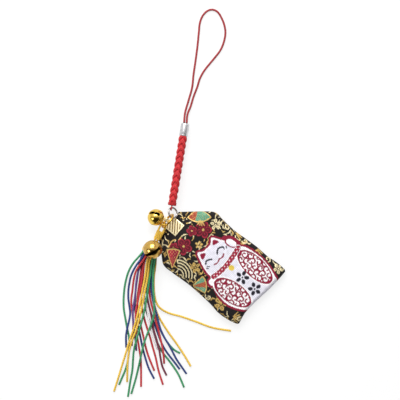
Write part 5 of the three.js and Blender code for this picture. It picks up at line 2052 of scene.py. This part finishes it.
    def build(self) -> list[Piece]:
        """Make the tassel's pieces.

        Returns:
            The cords, the hanger and the binding.
        """
        yarns = {dye: YarnFinish(f"twisted_{dye}_cord", colour=light, groove=dark).material()
                 for dye, (light, dark) in DYES.items()}
        made = [self.strand(strand, yarns[strand.dye]) for strand in STRANDS]
        return [*made, self.hanger(yarns["yellow"]), self.binding(yarns["yellow"])]


@dataclass
class Studio:
    """White table, soft lamps and a camera that looks straight down, as the photograph does."""

    frame_mm: float = 180.0
    middle_mm: Flat = (-7.02, 27.0)
    lens_mm: float = 120.0
    sensor_mm: float = 36.0
    level_mm: float = 1.0
    table_mm: float = 6000.0
    table_gap: float = 0.05

    def camera(self) -> None:
        """Set the camera over the charm."""
        data = bpy.data.cameras.new("camera")
        data.lens, data.sensor_width = self.lens_mm, self.sensor_mm
        height = self.frame_mm / self.sensor_mm * self.lens_mm + self.level_mm
        camera = bpy.data.objects.new("camera", data)
        camera.location = Vector((*self.middle_mm, height)) * MM
        bpy.context.scene.collection.objects.link(camera)
        bpy.context.scene.camera = camera

    def table(self) -> None:
        """Lay the table top, which is stage and not a piece of the charm."""
        deselect_all()
        below = (0, 0, -self.table_gap * MM)
        bpy.ops.mesh.primitive_plane_add(size=self.table_mm * MM, location=below)
        table = name_new("table_top")
        put(table, Matrix.Identity(4))
        TableFinish("white_laminate").dress(table)

    def lamp(self, name: str, place: Point, size_mm: float, power: float) -> None:
        """Hang one soft square lamp that faces the charm.

        Args:
            name: Name of the lamp.
            place: Its place in millimetres.
            size_mm: Side of its square.
            power: Its power in watts.
        """
        data = bpy.data.lights.new(name, "AREA")
        data.shape, data.size, data.energy = "SQUARE", size_mm * MM, power
        lamp = bpy.data.objects.new(name, data)
        lamp.location = Vector(place) * MM
        aim = Vector((*self.middle_mm, 0)) * MM - lamp.location
        lamp.rotation_euler = aim.to_track_quat("-Z", "Y").to_euler()
        bpy.context.scene.collection.objects.link(lamp)

    def sky(self) -> None:
        """Light the room: pale at the horizon, and above it bright on one side only."""
        world = bpy.data.worlds.new("studio_room")
        world.use_nodes = True
        bpy.context.scene.world = world
        tree = world.node_tree
        place = add_node(tree, "TexCoord")
        parts = add_node(tree, "SeparateXYZ", {0: place.outputs["Generated"]})
        side = add_node(tree, "MapRange",
                        {"Value": parts.outputs["Y"], "From Min": -0.12, "From Max": 0.3})
        ceiling = add_node(tree, "Mix",
                           {"Factor": side.outputs[0], "A": linear("28221c"),
                            "B": linear("ffffff")}, data_type="RGBA")
        height = add_node(tree, "MapRange",
                          {"Value": parts.outputs["Z"], "From Min": 0.12, "From Max": 0.34})
        room = add_node(tree, "Mix",
                        {"Factor": height.outputs[0], "A": linear("f6f6f6"),
                         "B": ceiling.outputs["Result"]}, data_type="RGBA")
        feed(tree.nodes["Background"], {"Color": room.outputs["Result"], "Strength": 1.0})

    def build(self) -> None:
        """Set up the whole studio."""
        bpy.context.scene.view_settings.view_transform = "Standard"
        self.camera()
        self.table()
        self.sky()
        self.lamp("window_lamp", (-60, 420, 420), 360, 3.4)
        self.lamp("fill_lamp", (-420, -160, 360), 160, 0.76)


def write_sizes() -> None:
    """Bring every piece's placement up to date.
    """
    bpy.context.view_layer.update()


def main() -> None:
    """Build the charm and its studio."""
    logging.basicConfig(level=logging.INFO, format="%(name)s: %(message)s")
    for scrap in list(bpy.data.objects):
        bpy.data.objects.remove(scrap)
    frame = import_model()
    pouch = PouchBag()
    bells = (
        JingleBell("bell_1", Body.BELL_1, (-26.7321, 19.2598, 5.1889), (-0.628, 0.556, 0.545),
                   (0.716, 0.141, 0.684), 3.75),
        JingleBell("bell_2", Body.BELL_2, (-28.085, 4.994, 8.415), (-0.103, -0.423, 0.9),
                   (0.87, 0.42, 0.25), 4.2, plating=BROWNER_GOLD),
    )
    Studio().build()
    made = [*CordTassel().build(), *HandStrap().build(), pouch.build(),
            CrimpClamp().build(frame, pouch), *LinkRings().build()]
    for bell in bells:
        made += bell.build(frame)
    PaperFinish("stiff_card", colour="cfc2a2", fibre="b5a680").dress(frame["nodes"]["inner_card"])
    PaperFinish("washi_slip").dress(frame["nodes"]["prayer_slip"])
    write_sizes()


if __name__ == "__main__":
    main()
